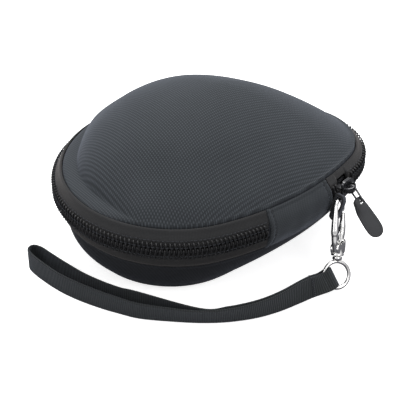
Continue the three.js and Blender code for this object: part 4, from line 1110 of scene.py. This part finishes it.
def bar_stitches():
    """Slanting stitches across the doubled strap near the ring, and a loose thread end."""
    at = doubled[1]
    along, across, out = at["along"], at["across"], -at["normal"]
    face = at["point"] + out * (GAPS[1] + STRAP_T / 2 + 0.06)
    parts = []
    for k in range(9):
        y0 = 0.8 + k * 1.22
        for shift in (-0.35, 0.35):
            start = face + across * y0 + along * (shift - 0.3)
            end = face + across * (y0 + 0.95) + along * (shift + 0.3)
            path = [start + (end - start) * u + out * (0.16 * math.sin(math.pi * u) - 0.03)
                    for u in np.linspace(0, 1, 5)]
            parts.append(tube(path, [0.12, 0.2, 0.22, 0.2, 0.12], 6))
    top = face + across * at["width"]
    # loose end: along the strap, past its upper edge, outward
    loose = [(0.6, -0.4, 0), (1.0, 0.5, 0), (1.7, 1.1, 0.4), (1.5, 1.9, 0), (2.0, 2.3, 0)]
    parts.append(tube(catmull(place(loose, (top, along, across, out)), 4), 0.2, 6))
    return joined(parts)


assign(make("strap_bar_stitches", bar_stitches(), M_THREAD), "strap", "thread",
       "strap_stitch")


# ---------------------------------------------------------------- floor, light, camera
def floor_material():
    """White paper, brighter to the camera and dark in reflections."""
    m = Shader("floor_paper")
    tone = m.noise(m.coord(), scale=0.01, detail=2.0)
    m.feed(m.bsdf, {"Base Color": m.ramp(tone, [(0.3, (0.78,) * 3), (0.7, (0.82,) * 3)]),
                    "Roughness": 0.9, "Emission Color": (1, 1, 1, 1)})
    rays = m.node("LightPath")
    glow = m.math("MULTIPLY", rays.outputs["Is Camera Ray"], 0.75)
    m.feed(m.bsdf, {"Emission Strength": glow})
    dark = m.node("BsdfDiffuse", Color=(0.10, 0.10, 0.11, 1))
    mix = m.node("MixShader")
    m.feed(mix, {0: rays.outputs["Is Glossy Ray"], 1: m.bsdf.outputs[0], 2: dark.outputs[0]})
    m.feed(m.tree.nodes["Material Output"], {"Surface": mix.outputs[0]})
    return m.material


FLOOR_R, FLOOR_Z = 6000.0, -0.15
around = 2 * np.pi * np.arange(64) / 64
disc = np.column_stack([FLOOR_R * np.cos(around), FLOOR_R * np.sin(around), np.full(64, FLOOR_Z)])
make("floor", (disc, [tuple(range(64))]), floor_material())


def studio_world():
    """Grey bands by height for light and reflections; plain white to the camera."""
    world = bpy.data.worlds.new("studio")
    bpy.context.scene.world = world
    world.use_nodes = True
    nodes, link = world.node_tree.nodes, world.node_tree.links.new
    background = nodes["Background"]
    background.inputs["Strength"].default_value = 1.0
    coord = nodes.new("ShaderNodeTexCoord")
    split = nodes.new("ShaderNodeSeparateXYZ")
    link(coord.outputs["Generated"], split.inputs[0])
    ramp = nodes.new("ShaderNodeValToRGB")
    stops = ramp.color_ramp.elements
    stops[0].position, stops[0].color = 0.0, (0.12, 0.12, 0.13, 1)
    stops[1].position, stops[1].color = 1.0, (0.95, 0.95, 0.95, 1)
    # position from straight down to straight up, grey level
    for position, grey in ((0.5, 0.12), (0.54, 0.16), (0.58, 0.72), (0.66, 0.78), (0.69, 0.2),
                           (0.725, 0.85)):
        stops.new(position).color = (grey, grey, grey * 1.03, 1)
    height = nodes.new("ShaderNodeMapRange")
    height.inputs["From Min"].default_value = -1.0
    height.inputs["From Max"].default_value = 1.0
    link(split.outputs["Z"], height.inputs["Value"])
    link(height.outputs["Result"], ramp.inputs[0])
    rays = nodes.new("ShaderNodeLightPath")
    mix = nodes.new("ShaderNodeMix")
    mix.data_type = "RGBA"
    link(rays.outputs["Is Camera Ray"], mix.inputs["Factor"])
    link(ramp.outputs[0], mix.inputs["A"])
    mix.inputs["B"].default_value = (1, 1, 1, 1)
    link(mix.outputs["Result"], background.inputs["Color"])


def aimed(name, data, location, backward):
    """Add a light or camera facing against the vector backward."""
    ob = bpy.data.objects.new(name, data)
    bpy.context.scene.collection.objects.link(ob)
    ob.location = location
    ob.rotation_mode = "QUATERNION"
    ob.rotation_quaternion = (-backward).to_track_quat("-Z", "Y")
    return ob


def area(name, location, size, power):
    """Square light aimed at the case; metres and watts."""
    light = bpy.data.lights.new(name, "AREA")
    light.energy, light.size = power, size
    aimed(name, light, location, Vector(location) - Vector((0.02, -0.01, 0.04)))


studio_world()
area("key", (0.15, 0.35, 0.9), size=0.6, power=9.0)
area("fill_left", (-0.8, -0.1, 0.5), size=0.5, power=1.5)
area("front", (0.35, -0.85, 0.75), size=0.4, power=2.0)

# camera: azimuth from -y, elevation, and metres from its target
AZIMUTH, ELEVATION, DISTANCE = math.radians(-16.98), math.radians(35.56), 0.600
TARGET = Vector((0.00132, -0.03766, 0.0495))
backward = Vector((math.sin(AZIMUTH) * math.cos(ELEVATION),
                   -math.cos(AZIMUTH) * math.cos(ELEVATION), math.sin(ELEVATION)))
camera = bpy.data.cameras.new("camera")
camera.sensor_width = 36.0
camera.lens = 108.0
camera.clip_start, camera.clip_end = 0.01, 20.0
scene = bpy.context.scene
scene.camera = aimed("camera", camera, TARGET + backward * DISTANCE, backward)
scene.view_settings.view_transform = "Standard"
